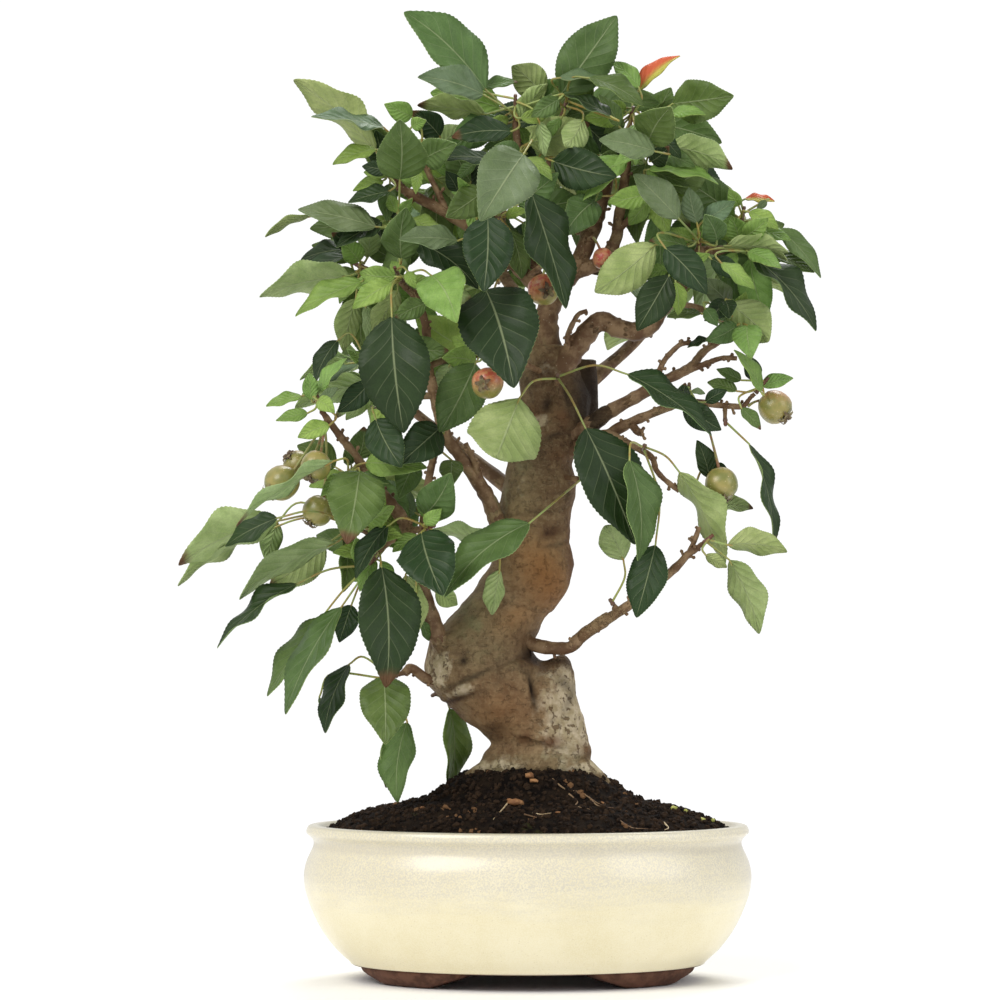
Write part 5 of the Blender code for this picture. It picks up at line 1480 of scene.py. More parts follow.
def joined_object(name, bodies, finish=None):
    """One object from several plain bodies, in a finish if one is given."""
    corners = []
    faces = []
    for body_corners, body_faces in bodies:
        first = len(corners)
        corners += [tuple(placed(c)) for c in body_corners]
        faces += [tuple(i + first for i in face) for face in body_faces]
    mesh = bpy.data.meshes.new(name)
    mesh.from_pydata(corners, [], faces)
    made = new_object(name, mesh)
    return coated(made, finish) if finish else made


# %% Round trunk rings
FINE_RINGS = 110
FINE_SIDES = 64
BRANCH_SIDES = 14
TRUNK_VOXEL = 0.0011


def trunk_between(z):
    """Trunk ring values at a height, read between the rings."""
    for low, high in zip(TRUNK, TRUNK[1:]):
        if low[0] <= z <= high[0]:
            share = (z - low[0]) / (high[0] - low[0])
            share = share * share * (3 - 2 * share) * 0.35 + share * 0.65
            return [a + (b - a) * share for a, b in zip(low[1:], high[1:])]
    return list(TRUNK[-1][1:])


def fine_tube(points, first, last, steps=5):
    """A smooth tube through a branch's places."""
    path = smooth_chain([Vector(p) for p in points], steps)
    return tube(path, taper(first, last, len(path)), BRANCH_SIDES)


# %% Melt the trunk together
THICK = ("cut_stub", "dead_stub", "low_left", "mid_left", "low_right", "snag_left", "high_right", "leader",
         "leader_right", "leader_left", "right_main", "right_low", "back_left", "back_mid", "back_right",
         "back_top", "red_stub")
lowest, highest = TRUNK[0][0], TRUNK[-1][0]
levels = [lowest + (highest - lowest) * i / FINE_RINGS for i in range(FINE_RINGS + 1)]
trunk_bodies_fine = [trunk_rings([(z, *trunk_between(z)) for z in levels], FINE_SIDES)]
for name in THICK:
    points, first, last, _ = BRANCHES[name]
    trunk_bodies_fine.append(fine_tube([seen(*p) for p in points], first, last))
for points, first, last in ROOTS:
    trunk_bodies_fine.append(fine_tube(points, first, last))
trunk_piece = joined_object("trunk", trunk_bodies_fine)
melt = trunk_piece.modifiers.new("melt", "REMESH")
melt.mode = "VOXEL"
melt.voxel_size = TRUNK_VOXEL
settle(trunk_piece)
print("trunk faces", len(trunk_piece.data.polygons))

# %% Marks on the bark
# Each mark: x, z, half width, half height, lean, how far out in mm, and the shares of each tint. The
# near-black tint is the dark colour of dead wood and knots in some marks, and painted shade in the pushed-in
# cracks, pits, creases, folds and rings and in the shade marks.
MARKS = {
    "scar": (-33, 144, 7, 3.8, 0.35, 1.2, {"pale": 1.0}),
    "scar_rim_low": (-36, 138.5, 12, 1.8, 0.35, -1.0, {"dark_wood_and_shade": 0.75, "ruddy": 0.6}),
    "scar_rim_high": (-28, 150, 14, 1.7, 0.45, -0.9, {"dark_wood_and_shade": 0.65, "mossy": 0.5}),
    "knot_low_left": (-32, 158.5, 2.6, 2.6, 0.0, -1.0, {"dark_wood_and_shade": 0.9}),
    "crack": (2.4, 144, 1.4, 12, 0.16, -3.0, {"dark_wood_and_shade": 1.0}),
    "crease": (-4, 160, 13, 1.6, 0.4, -1.3, {"dark_wood_and_shade": 0.4}),
    "cleft": (4, 162, 9, 8, 0.0, -1.8, {"dark_wood_and_shade": 0.85, "ruddy": 0.6}),
    "folds_left": (-2, 154, 2.0, 6, 0.6, -0.9, {"dark_wood_and_shade": 0.35}),
    "folds_right": (6, 153, 1.8, 6, -0.5, -0.9, {"dark_wood_and_shade": 0.35}),
    "stub_top": (13, 158, 8, 3, 0.0, -1.0, {"dark_wood_and_shade": 0.5}),
    "stub_bruise": (18, 147, 5, 4, -0.6, -0.9, {"dark_wood_and_shade": 0.6}),
    "pale_side": (19, 131, 14, 26, 0.0, 0.3, {"pale": 1.0, "mossy": 0.35}),
    "pale_left": (-44, 155, 7, 12, 0.0, 0.4, {"pale": 0.75}),
    "pale_root_left": (-14, 106, 14, 5, 0.0, 0.3, {"pale": 0.8, "mossy": 0.9}),
    "pale_root_right": (28, 104, 14, 4.5, 0.0, 0.3, {"pale": 0.9, "mossy": 0.4}),
    "dark_patch_low": (11, 118.5, 6, 3, 0.0, -0.4, {"ruddy": 1.0, "dark_wood_and_shade": 0.25}),
    "dark_patch_mid": (-1, 120, 5, 5, 0.0, -0.6, {"ruddy": 0.8, "dark_wood_and_shade": 0.3}),
    "knob_low_right": (27, 114, 5, 4, 0.0, 1.4, {"ruddy": 0.5}),
    "ruddy_mid": (-9, 134, 20, 16, 0.0, 0.0, {"ruddy": 0.4}),
    "ruddy_edge": (23, 206, 4, 26, 0.0, 0.0, {"ruddy": 1.0, "dark_wood_and_shade": 0.3}),
    "ruddy_upper": (10, 198, 14, 16, 0.3, 0.3, {"ruddy": 0.45}),
    "knot_middle": (12, 222, 6, 3.4, 0.2, -1.2, {"dark_wood_and_shade": 0.6, "ruddy": 0.8}),
    "knot_fold": (14, 216, 9, 1.5, 0.2, -1.0, {"dark_wood_and_shade": 0.45}),
    "knot_high": (19, 240, 3.5, 3.5, 0.0, 0.9, {"dark_wood_and_shade": 0.45}),
    "ring_low": (-4, 186, 22, 1.3, -0.3, -0.7, {"dark_wood_and_shade": 0.25}),
    "ring_high": (4, 232, 16, 1.2, 0.15, -0.6, {"dark_wood_and_shade": 0.25}),
    "pale_neck": (-4, 246, 9, 12, 0.0, 0.2, {"pale": 0.3, "mossy": 0.8}),
    "dead_wood": (31, 292, 13, 32, 0.0, 0.0, {"dark_wood_and_shade": 1.0}),
    "warm_middle": (8, 200, 14, 22, 0.3, 0.0, {"warm": 1.0}),
    "warm_yellow": (-6, 180, 14, 9, 0.3, 0.0, {"warm": 0.55}),
    "warm_low": (-14, 132, 18, 14, 0.0, 0.0, {"warm": 0.45}),
    "grey_upper": (-6, 240, 13, 28, 0.0, 0.0, {"mossy": 0.9}),
    "grey_neck": (-24, 178, 17, 20, 0.5, 0.0, {"mossy": 0.95}),
    "stub_edge": (20, 158, 4, 5, 0.0, 0.8, {"dark_wood_and_shade": 0.7}),
    "stub_streak": (21, 140, 2.2, 9, -0.35, -0.6, {"dark_wood_and_shade": 0.5}),
    "shade_low_left": (-20, 122, 14, 6, 0.6, 0.0, {"dark_wood_and_shade": 0.35}),
    "shade_neck": (-2, 168, 10, 10, 0.0, 0.0, {"dark_wood_and_shade": 0.3, "ruddy": 0.5}),
    "shade_top": (4, 262, 16, 10, 0.0, 0.0, {"dark_wood_and_shade": 0.25}),
    "burr_left": (2, 296, 5, 6, 0.4, 3.0, {"dark_wood_and_shade": 0.45}),
    "burr_dent": (9, 286, 4, 5, -0.3, -3.2, {"dark_wood_and_shade": 0.8}),
    "burr_right": (17, 280, 5, 6, 0.3, 2.6, {"ruddy": 0.8}),
    "burr_crease": (13, 270, 9, 1.8, 0.3, -2.2, {"dark_wood_and_shade": 0.7}),
    "burr_knot": (4, 281, 4, 4, 0.0, 2.6, {"ruddy": 0.6}),
    "burr_knot_low": (15, 260, 4.5, 4, 0.0, 2.2, {"ruddy": 0.5}),
    "burr_pit": (-2, 273, 3.5, 4, 0.0, -2.4, {"dark_wood_and_shade": 0.8}),
    "burr_split": (20, 290, 2.2, 9, 0.2, -2.4, {"dark_wood_and_shade": 0.9}),
    "burr_lichen": (6, 276, 6, 5, 0.2, 0.4, {"pale": 0.6, "mossy": 0.3}),
    "cut_top": (8, 302, 10, 8, 0.0, -0.8, {"dark_wood_and_shade": 0.4, "pale": 0.3}),
}
TINTS = ("dark_wood_and_shade", "pale", "mossy", "ruddy", "warm")
# Marks lie on the front of the trunk only, up to this depth, or a greater one at the dead stub
FRONT_DEPTH = 12
STUB_DEPTH = 40
MARK_REACH = 5


def marks_at(point):
    """How far the marks move a place of the bark, and how strongly they tint it."""
    push = 0.0
    tints = dict.fromkeys(TINTS, 0.0)
    if point.y > (STUB_DEPTH if point.x > 19 and point.z > 260 else FRONT_DEPTH):
        return push, tints
    for x, z, half_x, half_z, lean, height, shares in MARKS.values():
        off_z = point.z - z
        off_x = point.x - x
        across = (off_x + lean * off_z if half_z > half_x else off_x) / half_x
        along = (off_z - lean * off_x if half_x >= half_z else off_z) / half_z
        away = across * across + along * along
        if away > MARK_REACH:
            continue
        share = math.exp(-away * 1.1)
        push += height * share
        for tint, strength in shares.items():
            tints[tint] = max(tints[tint], strength * share)
    return push, tints


# %% Carve the bark
def carve(made):
    """Move the trunk's skin in and out, and store the tints of its marks."""
    mesh = made.data
    banks = {tint: [] for tint in TINTS}
    moved = []
    normals = [v.normal.copy() for v in mesh.vertices]
    for vertex, normal in zip(mesh.vertices, normals):
        point = (vertex.co - SHIFT) / MM
        thick = 1.0 if math.hypot(point.x - 2, point.y) < 45 and point.z < 320 else 0.35
        broad = noise.noise(point / 24) * 1.7
        ridges = noise.noise(Vector((point.x / 10, point.y / 10, point.z / 17)) + Vector((4, 0, 0))) * 0.9
        small = noise.noise(point / 4.0) * 0.35 + noise.noise(point / 1.9) * 0.16
        push, tints = marks_at(point)
        push += (broad + ridges + small) * thick
        # Painted shade: the deeper the ridges and small bumps push the skin in, the darker it is tinted.
        tints["dark_wood_and_shade"] = max(tints["dark_wood_and_shade"], min(max(0.0, -(ridges + small * 1.4) - 0.6) * thick, 0.6))
        if point.z < 112:
            tints["mossy"] = max(tints["mossy"], 0.45)
            tints["pale"] = max(tints["pale"], 0.2)
        moved.append(vertex.co + normal * (push * MM))
        for tint, bank in banks.items():
            bank.append(tints[tint])
    for vertex, place in zip(mesh.vertices, moved):
        vertex.co = place
    for tint, bank in banks.items():
        mesh.attributes.new(tint, "FLOAT", "POINT").data.foreach_set("value", bank)
    mesh.shade_smooth()


carve(trunk_piece)
trunk_piece.data.materials.clear()
trunk_piece.data.materials.append(bark)
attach(trunk_piece, "root")
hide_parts("wood")

# %% [markdown]
# ## Twigs
#
# Twigs and spurs are thin, knobbly and many, so one geometry tree sweeps them all from chains of
# points, with a small wobble of the skin.

# %% Twig tree
def make_twig_tree():
    """Geometry nodes that sweep chains of points into knobbly twigs."""
    tree, given, result = new_tree(
        "GeometryNodeTree", "Twigs",
        [("Chains", "Geometry", None), ("Sides", "Int", 9), ("Wobble", "Float", 0.0005),
         ("Finish", "Material", None)],
        [("Twigs", "Geometry")])
    swept = round_sweep(tree, given["Chains"], given["Sides"])
    position = geometry(tree, "InputPosition")
    bumps = add_node(tree, "ShaderNodeTexNoise", {"Vector": position, "Scale": 260.0, "Detail": 2.0})
    centred = vector_node(tree, "SUBTRACT", bumps.outputs[1], (0.5, 0.5, 0.5))
    offset = vector_node(tree, "SCALE", centred, scale=given["Wobble"])
    moved = geometry(tree, "SetPosition", {"Geometry": swept, "Offset": offset})
    finish = geometry(tree, "SetMaterial", {0: moved, "Material": given["Finish"]})
    feed(tree, result[0], geometry(tree, "SetShadeSmooth", {0: finish}))
    return tree


def chains_object(name, chains):
    """An object of point chains, each with a thickness at each point."""
    work = Chains()
    for path, radii in chains:
        work.chain(path, radii)
    return work.built(name, TWIG_VALUES)


twig_tree = make_twig_tree()

# %% Sweep the twigs
rng = random.Random(5)
twig_chains = []
for name, (points, first, last, _) in BRANCHES.items():
    if name in ("cut_stub", "dead_stub"):
        continue
    path = smooth_chain([seen(*p) for p in points], 6)
    count = len(path)
    radii = [radius * rng.uniform(0.95, 1.16) + 0.12 for radius in taper(first, last, count)]
    twig_chains.append((path, radii))
    for number in range(2, count - 1):
        if rng.random() < 0.4 and radii[number] < 3.4:
            way = (path[number + 1] - path[number]).normalized()
            side = way.cross(Vector([rng.uniform(-1, 1) for _ in range(3)])).normalized()
            out = (side + way * 0.5).normalized()
            reach = radii[number] + rng.uniform(0.9, 3.2)
            knob = [path[number] + out * (reach * share) for share in (0.2, 0.6, 0.85, 1.0)]
            twig_chains.append((knob, [0.75, 0.7, 0.95, 0.25]))
for place, _, _ in buds.values():
    (root, end), (thick, thin), _ = spur_to(place)
    bend = root.lerp(end, 0.5) + Vector((0, 0, 0.05 * (end - root).length))
    line = smooth_chain([root, bend, end], 5)
    last = len(line) - 1
    radii = [thick + (thin - thick) * i / last + rng.uniform(-0.1, 0.25) for i in range(last + 1)]
    twig_chains.append((line, radii))
for fruits in APPLES.values():
    (root, end), (thick, thin), _ = spur_to(seen(*fruits[0][4]), 4 * GAP)
    twig_chains.append(([root, root.lerp(end, 0.5), end], [thick, thick * 0.9, thin]))
twigs_piece = grow(chains_object("twigs", twig_chains), twig_tree, Sides=9, Wobble=0.0006, Finish=twig_bark)
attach(twigs_piece, "root")
print("twig faces", len(twigs_piece.data.polygons))

# %% [markdown]
# ## Crabapples
#
# The fruit is a small round apple with a dimple at the stalk and a dry five-pointed calyx at the
# other end. Its skin is yellow-green with a red blush on the side that the sun reaches, and tiny
# pale pores.

# %% Fruit skin
peel = Finish("apple_skin", 0.32, Coat_Weight=0.15, Coat_Roughness=0.25)
patches, relief = peel.blotches(110.0, 0.35, 0.65)
streaks, streak_height = peel.blotches(420.0, 0.4, 0.6)
peel.colour = peel.mixed(patches, (0.2, 0.21, 0.05), (0.36, 0.3, 0.09))
share = peel.ramp(peel.math("MULTIPLY_ADD", streak_height, 0.5, peel.stored("blush")), 0.55, 1.15)
peel.lay(share, peel.mixed(streaks, (0.5, 0.085, 0.055), (0.6, 0.26, 0.12)))
peel.lay(peel.specks(520.0, 0.17, 0.5), (0.6, 0.5, 0.28), 0.6)
apple_skin = peel.finished(relief, 0.15, 0.0004)
calyx_brown = mottled("calyx_brown", 0.8, 300.0, (0.4, 0.6), (0.1, 0.06, 0.035), (0.24, 0.2, 0.1),
                      (0.5, 0.0005))
fruit_stalk = mottled("fruit_stalk", 0.5, 140.0, (0.4, 0.62), (0.3, 0.33, 0.1), (0.3, 0.14, 0.07),
                      (0.3, 0.0004))


# %% Fruit shapes
# The way that the red side faces, and how far the red spreads
BLUSH = {
    "apple_top": ((-0.4, -0.3, 0.9), 0.62), "apple_centre": ((0.0, -0.2, 1.0), 0.6),
    "apple_hidden": ((0.3, -0.6, 0.6), 0.85), "apple_right": ((0.2, 0.2, 1.0), 0.3),
    "apple_low_right": ((0.5, 0.6, 0.8), 0.12), "apples_left": ((0.2, 0.6, 0.8), 0.2),
}
FRUIT_SIDES = 26
FRUIT_PROFILE = [
    (-0.83, 0.0), (-0.86, 0.12), (-0.95, 0.26), (-0.97, 0.42), (-0.88, 0.62), (-0.68, 0.82), (-0.4, 0.96),
    (-0.08, 1.02), (0.24, 1.01), (0.52, 0.9), (0.76, 0.7), (0.91, 0.47), (0.95, 0.3), (0.91, 0.17),
    (0.86, 0.0),
]
# The calyx: places along a sepal, out from the middle and down, and its half width there
SEPALS = 5
SEPAL = [(0.05, 0.0, 0.13), (0.26, 0.22, 0.15), (0.5, 0.2, 0.09), (0.6, -0.02, 0.015)]
SEPAL_HALF = 0.12
STALK_STEPS = 10


def add_shell(made, rings, closed, finish):
    """Faces between rings of vertices that have the same count, with both ends capped."""
    for first, second in zip(rings, rings[1:]):
        for i in range(len(first)):
            after = (i + 1) % len(first)
            made.faces.new((first[i], first[after], second[after], second[i])).material_index = finish
    for end in closed:
        made.faces.new(end).material_index = finish


def fruit_body(made, name, centre, radius, down, side, other):
    """The round fruit, with its dimple and its blush."""
    blush_layer = made.verts.layers.float["blush"]
    blush_way, blush_share = BLUSH[name]
    sun = Vector(blush_way).normalized()
    rings = []
    for along, out in FRUIT_PROFILE:
        ring = []
        sides = FRUIT_SIDES if out else 1
        for k in range(sides):
            turn = math.tau * k / sides
            lobe = 1 + 0.025 * math.cos(5 * turn) * (0.4 + abs(along))
            round_way = side * math.cos(turn) + other * math.sin(turn)
            point = centre + down * (radius * along * 0.98) + round_way * (radius * out * lobe)
            vert = made.verts.new(placed(point))
            vert[blush_layer] = blush_share + 0.4 * (point - centre).normalized().dot(sun)
            ring.append(vert)
        rings.append(ring)
    for low, high in zip(rings, rings[1:]):
        for k in range(FRUIT_SIDES):
            after = k + 1
            corners = (low[k % len(low)], low[after % len(low)],
                       high[after % len(high)], high[k % len(high)])
            made.faces.new(tuple(dict.fromkeys(corners))).smooth = True


def fruit_calyx(made, centre, radius, down, side, other):
    """The dry sepals that stand out at the tip."""
    start = centre + down * (radius * 0.88)
    for k in range(SEPALS):
        turn = math.tau * (k + 0.3) / SEPALS
        out = side * math.cos(turn) + other * math.sin(turn)
        across = down.cross(out)
        rings = []
        for far, low, half in SEPAL:
            point = start + out * radius * far + down * radius * low
            wide = across * half * radius
            thick = down * SEPAL_HALF
            ring = [point - wide + thick, point + wide + thick, point + wide - thick, point - wide - thick]
            rings.append([made.verts.new(placed(c)) for c in ring])
        add_shell(made, rings, (rings[0][::-1], rings[-1]), 1)


def fruit_mesh(made, name, fruit):
    """Add a fruit, its calyx and its stalk to a mesh in progress."""
    x, z, y, radius, root, way = fruit
    centre = seen(x, z, y)
    down = Vector(way).normalized()
    side = down.orthogonal().normalized()
    other = down.cross(side)
    fruit_body(made, name, centre, radius, down, side, other)
    fruit_calyx(made, centre, radius, down, side, other)
    radii = [0.85 - 0.25 * math.sin(math.pi * i / STALK_STEPS) for i in range(STALK_STEPS + 1)]
    corners, faces = tube(pedicel(centre, down, radius, root, STALK_STEPS), radii, 8)
    verts = [made.verts.new(placed(c)) for c in corners]
    for face in faces:
        new = made.faces.new([verts[i] for i in face])
        new.material_index = 2
        new.smooth = True


for name, fruits in APPLES.items():
    work = bmesh.new()
    work.verts.layers.float.new("blush")
    for fruit in fruits:
        fruit_mesh(work, name, fruit)
    bmesh.ops.recalc_face_normals(work, faces=work.faces[:])
    piece = new_object("fruit_" + name, finished_mesh(work, "fruit_" + name))
    for finish in (apple_skin, calyx_brown, fruit_stalk):
        piece.data.materials.append(finish)
    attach(piece, "root")
    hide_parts(name)
print("fruit pieces", len(APPLES))

# %% [markdown]
# ## Pot
#
# The pot is a deep oval bowl with a rolled rim, a groove under it and a bulging wall, in a cream
# glaze that breaks to a frosty grey-white on the shoulder. The underside and the four cloud-shaped
# feet are bare brown clay. A profile swept round an ellipse gives the bowl.

# %% Glaze and clay
coat = Finish("glaze", 0.3, Coat_Weight=0.3, Coat_Roughness=0.16)
up = add_node(coat.tree, "ShaderNodeSeparateXYZ", {0: coat.place}).outputs[2]
mottle, mottle_height = coat.blotches(1150.0, 0.38, 0.62, 3.0)
grain = coat.blotches(1500.0, 0.42, 0.58, 2.0)[0]
drift = coat.blotches(1.0, 0.35, 0.65, 3.0, coat.stretched((22.0, 22.0, 190.0)))[0]
cloud = coat.blotches(35.0, 0.3, 0.7, 3.0)[0]
coat.colour = coat.mixed(cloud, (0.8, 0.72, 0.47), (0.86, 0.79, 0.56))
coat.lay(grain, (0.93, 0.88, 0.72), 0.3)
frost_zone = coat.ramp(coat.math("MULTIPLY_ADD", drift, 0.007, up), 0.036, 0.06)
coat.lay(coat.math("MULTIPLY", frost_zone, coat.math("MULTIPLY_ADD", mottle, 0.6, 0.25)), (0.62, 0.58, 0.49))
groove = coat.math("MULTIPLY", coat.ramp(up, 0.0635, 0.0665), coat.ramp(up, 0.0715, 0.068))
coat.lay(groove, (0.5, 0.46, 0.38), 0.35)
coat.lay(coat.ramp(up, 0.0752, 0.0764), (0.46, 0.42, 0.3), 0.55)
coat.lay(coat.specks(700.0, 0.2, 0.25), (0.5, 0.4, 0.24), 0.28)
glaze = coat.finished(mottle_height, 0.06, 0.0004)
clay = mottled("bare_clay", 0.75, 150.0, (0.38, 0.64), (0.07, 0.03, 0.018), (0.14, 0.064, 0.04),
               (0.6, 0.0008), detail=8.0, Specular_IOR_Level=0.25)


# %% Bowl
BOWL_SIDES = 160


def curved(points, steps):
    """A rounder profile through its points."""
    chain = smooth_chain([Vector((half, 0.0, z)) for half, z in points], steps)
    return [(p.x, p.z) for p in chain]


BOWL_FOOT = [(86.0, 7.7), (88.2, 8.2)]
BOWL_BELLY_START = (88.9, 9.2)
bowl_profile = BOWL_FOOT + curved([BOWL_BELLY_START] + POT_OUTSIDE[1:] + POT_INSIDE, 5)
bowl_body = (swept_profile(bowl_profile, BOWL_SIDES), ring_faces(len(bowl_profile), BOWL_SIDES))
bowl = joined_object("bowl", [bowl_body], glaze)
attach(bowl, "root")
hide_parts("pot")

# %% Clay underside and feet
# Each level of a foot: height, how many degrees its ends draw in, half widths outside and inside
FOOT_LEVELS = [
    (0.0, 15, 79.5, 71.5), (0.5, 13.5, 80.5, 70.5), (2.0, 10.5, 82.0, 69.5), (4.0, 5.0, 84.2, 67.5),
    (5.6, 1.6, 85.4, 66.4), (7.0, 0.4, 85.9, 65.8), (8.2, 0.0, 86.0, 65.5),
]
FOOT_STEPS = 26
UNDER_PROFILE = [(60.0, 7.55), (84.0, 7.55), (87.4, 7.75), (88.3, 8.4), (86.0, 9.4), (60.0, 9.4)]
UNDER_SIDES = 120


def foot(first, last):
    """One cloud-shaped foot, rounded at its ends and narrower at the ground."""
    corners = []
    for z, draw_in, outer, inner in FOOT_LEVELS:
        ring = []
        middle = (outer + inner) / 2
        thick = (outer - inner) / 2
        low = first + draw_in
        high = last - draw_in
        for i in range(FOOT_STEPS):
            share = i / (FOOT_STEPS - 1)
            turn = math.radians(low + (high - low) * share)
            bulge = min(1.0, math.sin(math.pi * min(max(share, 0.06), 0.94)) * 3.2) ** 0.5
            ring.append((turn, middle + thick * bulge))
        for turn, out in ring + [(turn, 2 * middle - out) for turn, out in reversed(ring)]:
            corners.append(Vector((out * math.cos(turn), out * POT_DEPTH_RATIO * math.sin(turn), z)))
    return corners, ring_faces(len(FOOT_LEVELS), 2 * FOOT_STEPS)


underside = (swept_profile(UNDER_PROFILE, UNDER_SIDES), ring_faces(len(UNDER_PROFILE), UNDER_SIDES))
feet = [foot(first, last) for first, last in FOOT_TURNS]
clay_piece = joined_object("clay_feet", feet + [underside], clay)
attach(clay_piece, "root")

# %% [markdown]
# ## Soil
#
# The soil is dark, damp and crumbly, heaped up to the roots, with bark chips, pale straw, fine
# roots and a few green granules of fertiliser. A fine mound carries it, and geometry nodes scatter
# the crumbs over it.

# %% Soil finishes
earth = Finish("soil_dark", 0.95, Specular_IOR_Level=0.1)
patches, relief = earth.blotches(160.0, 0.35, 0.65, 8.0)
earth.colour = earth.mixed(patches, (0.004, 0.0025, 0.002), (0.016, 0.01, 0.006))
earth.lay(earth.blotches(40.0, 0.62, 0.7, 6.0)[0], (0.06, 0.07, 0.02), 0.35)
soil_finish = earth.finished(relief, 1.0, 0.002)
crumb_finish = mottled("soil_crumbs", 0.92, 230.0, (0.35, 0.65), (0.004, 0.0026, 0.002), (0.035, 0.02, 0.011),
                       (0.8, 0.001), specks=(150.0, 0.5, 0.06, (0.16, 0.085, 0.04)), Specular_IOR_Level=0.15)


# %% Mound
MOUND_SIDES = 200
MOUND_STEPS = 60


def fine_mound():
    """A closed fine mound that fills the pot's mouth up to the trunk."""
    edge = SOIL_HALF - 0.1
    corners = swept_profile([(60.0, 60.0), (edge - 1.5, 60.0), (edge - 0.4, 68.0)], MOUND_SIDES)
    shares = [step / MOUND_STEPS for step in range(MOUND_STEPS)]
    corners += mound_corners(edge, (14.0, 9.0), shares, MOUND_SIDES, 1.0)
    return corners, ring_faces(len(corners) // MOUND_SIDES, MOUND_SIDES)


mound_piece = joined_object("soil_mound", [fine_mound()], soil_finish)
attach(mound_piece, "root")
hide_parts("soil")

# %% Crumb tree
def make_crumb_tree():
    """Geometry nodes that scatter crumbs over the top of a mound."""
    tree, given, result = new_tree(
        "GeometryNodeTree", "Crumbs",
        [("Mound", "Geometry", None), ("Crumb", "Object", None), ("Density", "Float", 200000.0),
         ("Small", "Float", 0.4), ("Large", "Float", 1.6), ("Seed", "Int", 3), ("Finish", "Material", None)],
        [("Crumbs", "Geometry")])
    facing = add_node(tree, "ShaderNodeSeparateXYZ", {0: geometry(tree, "InputNormal")})
    top = math_node(tree, "GREATER_THAN", facing.outputs[2], 0.25)
    points = geometry(tree, "DistributePointsOnFaces", {
        "Mesh": given["Mound"], "Selection": top, "Density": given["Density"], "Seed": given["Seed"]})
    turn = add_node(tree, "FunctionNodeRandomValue", {
        0: (0.0, 0.0, 0.0), 1: (6.3, 6.3, 6.3), "Seed": given["Seed"]}, data_type="FLOAT_VECTOR")
    size = add_node(tree, "FunctionNodeRandomValue", {2: given["Small"], 3: given["Large"]},
                    data_type="FLOAT")
    crumb = add_node(tree, "GeometryNodeObjectInfo", {"Object": given["Crumb"]})
    copies = geometry(tree, "InstanceOnPoints", {
        "Points": points, "Instance": crumb.outputs["Geometry"], "Rotation": turn.outputs[0],
        "Scale": size.outputs[1]})
    real = geometry(tree, "RealizeInstances", {0: copies})
    feed(tree, result[0], geometry(tree, "SetMaterial", {0: real, "Material": given["Finish"]}))
    return tree


def make_crumb(name, size, stretch, seed):
    """A small uneven lump."""
    work = bmesh.new()
    bmesh.ops.create_icosphere(work, subdivisions=1, radius=size * MM)
    for vert in work.verts:
        vert.co = vert.co * (1 + 0.45 * noise.noise(vert.co * 900 + Vector((seed, 0, 0))))
        vert.co.x *= stretch
    return new_object(name, finished_mesh(work, name))


# %% Scatter the crumbs
CRUMBS_PER_SQUARE_METRE = 150000.0
crumb_tree = make_crumb_tree()
crumb_shape = make_crumb("crumb_shape", 1.0, 1.25, 2)
crumbs_piece = mound_piece.copy()
crumbs_piece.data = mound_piece.data.copy()
crumbs_piece.name = "soil_crumbs"
for key in list(crumbs_piece.keys()):
    del crumbs_piece[key]
bpy.context.scene.collection.objects.link(crumbs_piece)
grow(crumbs_piece, crumb_tree, Crumb=crumb_shape, Density=CRUMBS_PER_SQUARE_METRE,
     Small=0.3, Large=1.75, Seed=3, Finish=crumb_finish)
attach(crumbs_piece, "root")
print("crumb faces", len(crumbs_piece.data.polygons))

# %% Chips, straw, roots and granules
SPREAD = (0.4, 0.62)
chip_brown = mottled("bark_chip", 0.75, 260.0, SPREAD, (0.2, 0.085, 0.03), (0.4, 0.2, 0.08), (0.6, 0.0006))
straw_pale = mottled("straw", 0.6, 300.0, SPREAD, (0.42, 0.3, 0.16), (0.6, 0.48, 0.3))
granule_green = mottled("granule", 0.55, 300.0, SPREAD, (0.34, 0.36, 0.06), (0.5, 0.5, 0.14), (0.4, 0.0005))


def on_soil(x, y, lift=0.6):
    """A point just above the soil."""
    return Vector((x, y, mound(x, y) + lift))


STRAWS = [[(-10, -44), (-13, -52), (-17, -62)], [(2, -56), (6, -58), (11, -56)],
          [(66, -46), (68, -50), (66, -53)]]
ROOTLETS = [[(12, -30), (18, -34), (26, -33), (35, -38), (38, -36)],
            [(20, -36), (24, -40), (23, -45), (30, -47)], [(30, -34), (34, -40), (42, -41)],
            [(-2, -58), (4, -61), (9, -58)], [(44, -56), (50, -60), (58, -57)]]
CHIPS = [(-6, -44, 3.4), (-9, -42, 2.0), (1, -30, 2.4), (3, -33, 1.8), (36, -36, 1.4),
         (-52, -34, 1.2), (14, -56, 1.1), (20, 40, 1.8), (-30, 44, 1.6)]
GRANULES = [(72, -14, 1.5), (78, -12, 1.3), (92, -6, 1.4), (86, -20, 1.2), (70, 24, 1.4), (-60, 30, 1.3)]


def soil_chains(routes, radius):
    """Thin chains along the soil."""
    chains = []
    for route in routes:
        path = smooth_chain([on_soil(x, y) for x, y in route], 7)
        count = len(path)
        chains.append((path, [radius * (1.1 - 0.7 * i / count) for i in range(count)]))
    return chains


straw_piece = grow(chains_object("straw", soil_chains(STRAWS, 0.42)), twig_tree,
                   Sides=6, Wobble=0.0003, Finish=straw_pale)
root_piece = grow(chains_object("fine_roots", soil_chains(ROOTLETS, 0.38)), twig_tree,
                  Sides=7, Wobble=0.0006, Finish=twig_bark)
for piece in (straw_piece, root_piece):
    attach(piece, "root")


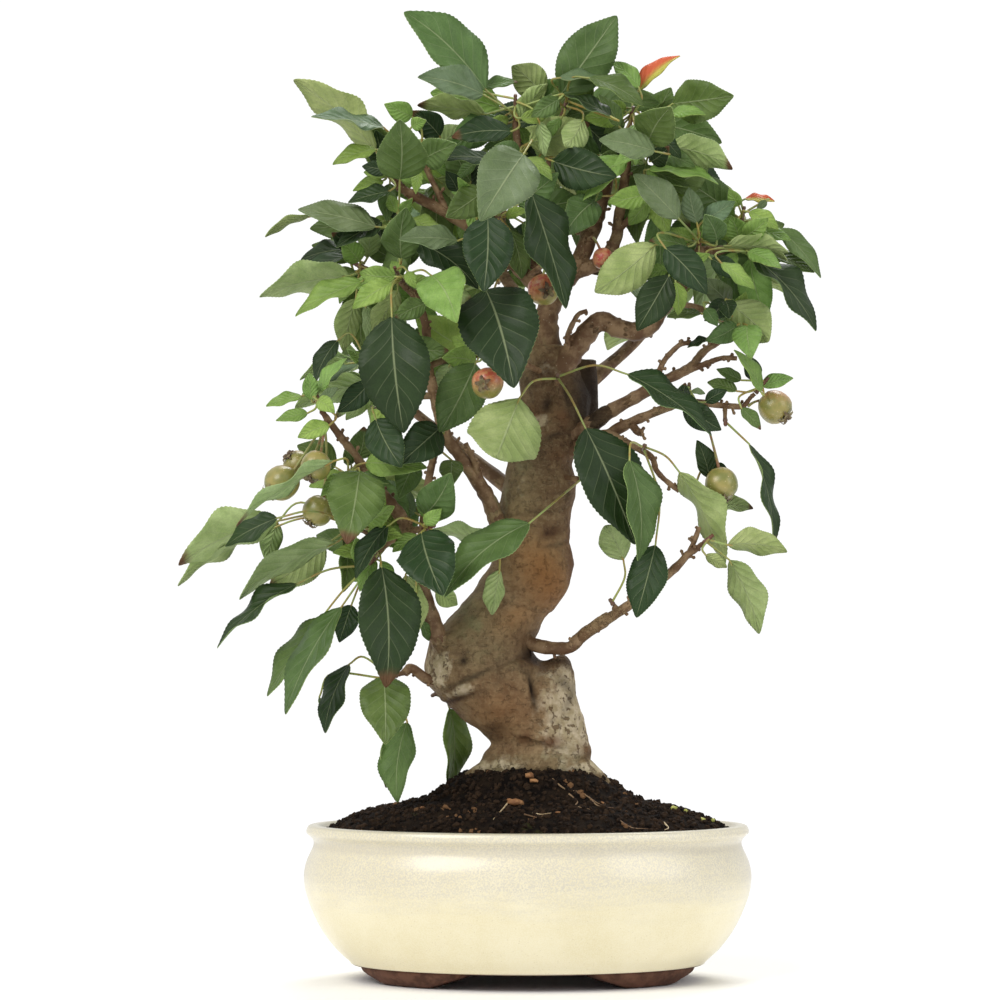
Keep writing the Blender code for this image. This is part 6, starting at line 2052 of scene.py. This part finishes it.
def scatter_by_hand(name, places, flat, finish):
    """Lumps at chosen places on the soil."""
    work = bmesh.new()
    for number, (x, y, size) in enumerate(places):
        turn = Matrix.Rotation(number * 2.1, 4, "Z") @ Matrix.Rotation(0.5 * math.sin(number * 1.7), 4, "X")
        place = Matrix.Translation(placed(on_soil(x, y, 0.9)))
        shape = place @ turn @ Matrix.Diagonal((1.5, 0.9, flat, 1.0))
        lump = bmesh.ops.create_icosphere(work, subdivisions=1, radius=size * MM, matrix=shape)
        for vert in lump["verts"]:
            vert.co += noise.noise_vector(vert.co * 500) * (0.45 * size * MM)
    made = coated(new_object(name, finished_mesh(work, name)), finish)
    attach(made, "root")


scatter_by_hand("bark_chips", CHIPS, 0.55, chip_brown)
scatter_by_hand("granules", GRANULES, 1.0, granule_green)
for helper in (blade_sheet_object, crumb_shape):
    bpy.data.objects.remove(helper)


# %% [markdown]
# ## Floor and light
#
# The photograph is a bright cut-out on white with soft light from all round, a little stronger from
# the front and above. A white world does most of the work, and three wide lamps give the leaves
# their sheen and the pot its gloss.

# %% Floor
FLOOR_RADIUS = 0.62
FLOOR_SIDES = 96
FLOOR_Z = -0.0005
floor_mesh = bpy.data.meshes.new("floor")
turns = [math.tau * i / FLOOR_SIDES for i in range(FLOOR_SIDES)]
rim = [(FLOOR_RADIUS * math.cos(turn), FLOOR_RADIUS * math.sin(turn), FLOOR_Z) for turn in turns]
floor_mesh.from_pydata(rim, [], [tuple(range(FLOOR_SIDES))])
floor = new_object("floor", floor_mesh)
paint = Finish("floor_white", 0.9)
paint.shader.inputs["Base Color"].default_value = (1.0, 1.0, 1.0, 1.0)
floor_mesh.materials.append(paint.made)

# %% Lamps
def area_lamp(name, place, target, size, power, colour=(1.0, 1.0, 1.0)):
    """A wide soft lamp."""
    data = bpy.data.lights.new(name, "AREA")
    data.shape = "DISK"
    data.size = size
    data.energy = power
    data.color = colour
    lamp = new_object(name, data)
    lamp.location = place
    lamp.rotation_euler = (Vector(target) - Vector(place)).to_track_quat("-Z", "Y").to_euler()


area_lamp("front_left", (-1.2, -1.5, 1.7), (0, 0, 0.25), 1.5, 34.0, (1.0, 0.98, 0.94))
area_lamp("front_right", (1.7, -1.2, 1.0), (0, 0, 0.25), 1.5, 11.0)
area_lamp("top_back", (0.3, 1.0, 1.9), (0, 0, 0.3), 1.2, 20.0)
world = bpy.data.worlds.new("studio")
world.use_nodes = True
sky = world.node_tree
background = sky.nodes["Background"]
background.inputs[0].default_value = (1.0, 1.0, 1.0, 1.0)
ray = add_node(sky, "ShaderNodeLightPath")
gloss = math_node(sky, "MULTIPLY", ray.outputs["Is Glossy Ray"], 0.6)
seen_directly = math_node(sky, "MAXIMUM", ray.outputs["Is Camera Ray"], gloss)
sky.links.new(math_node(sky, "MULTIPLY_ADD", seen_directly, 0.5, 0.55), background.inputs[1])
bpy.context.scene.world = world
bpy.context.scene.view_settings.view_transform = "Standard"
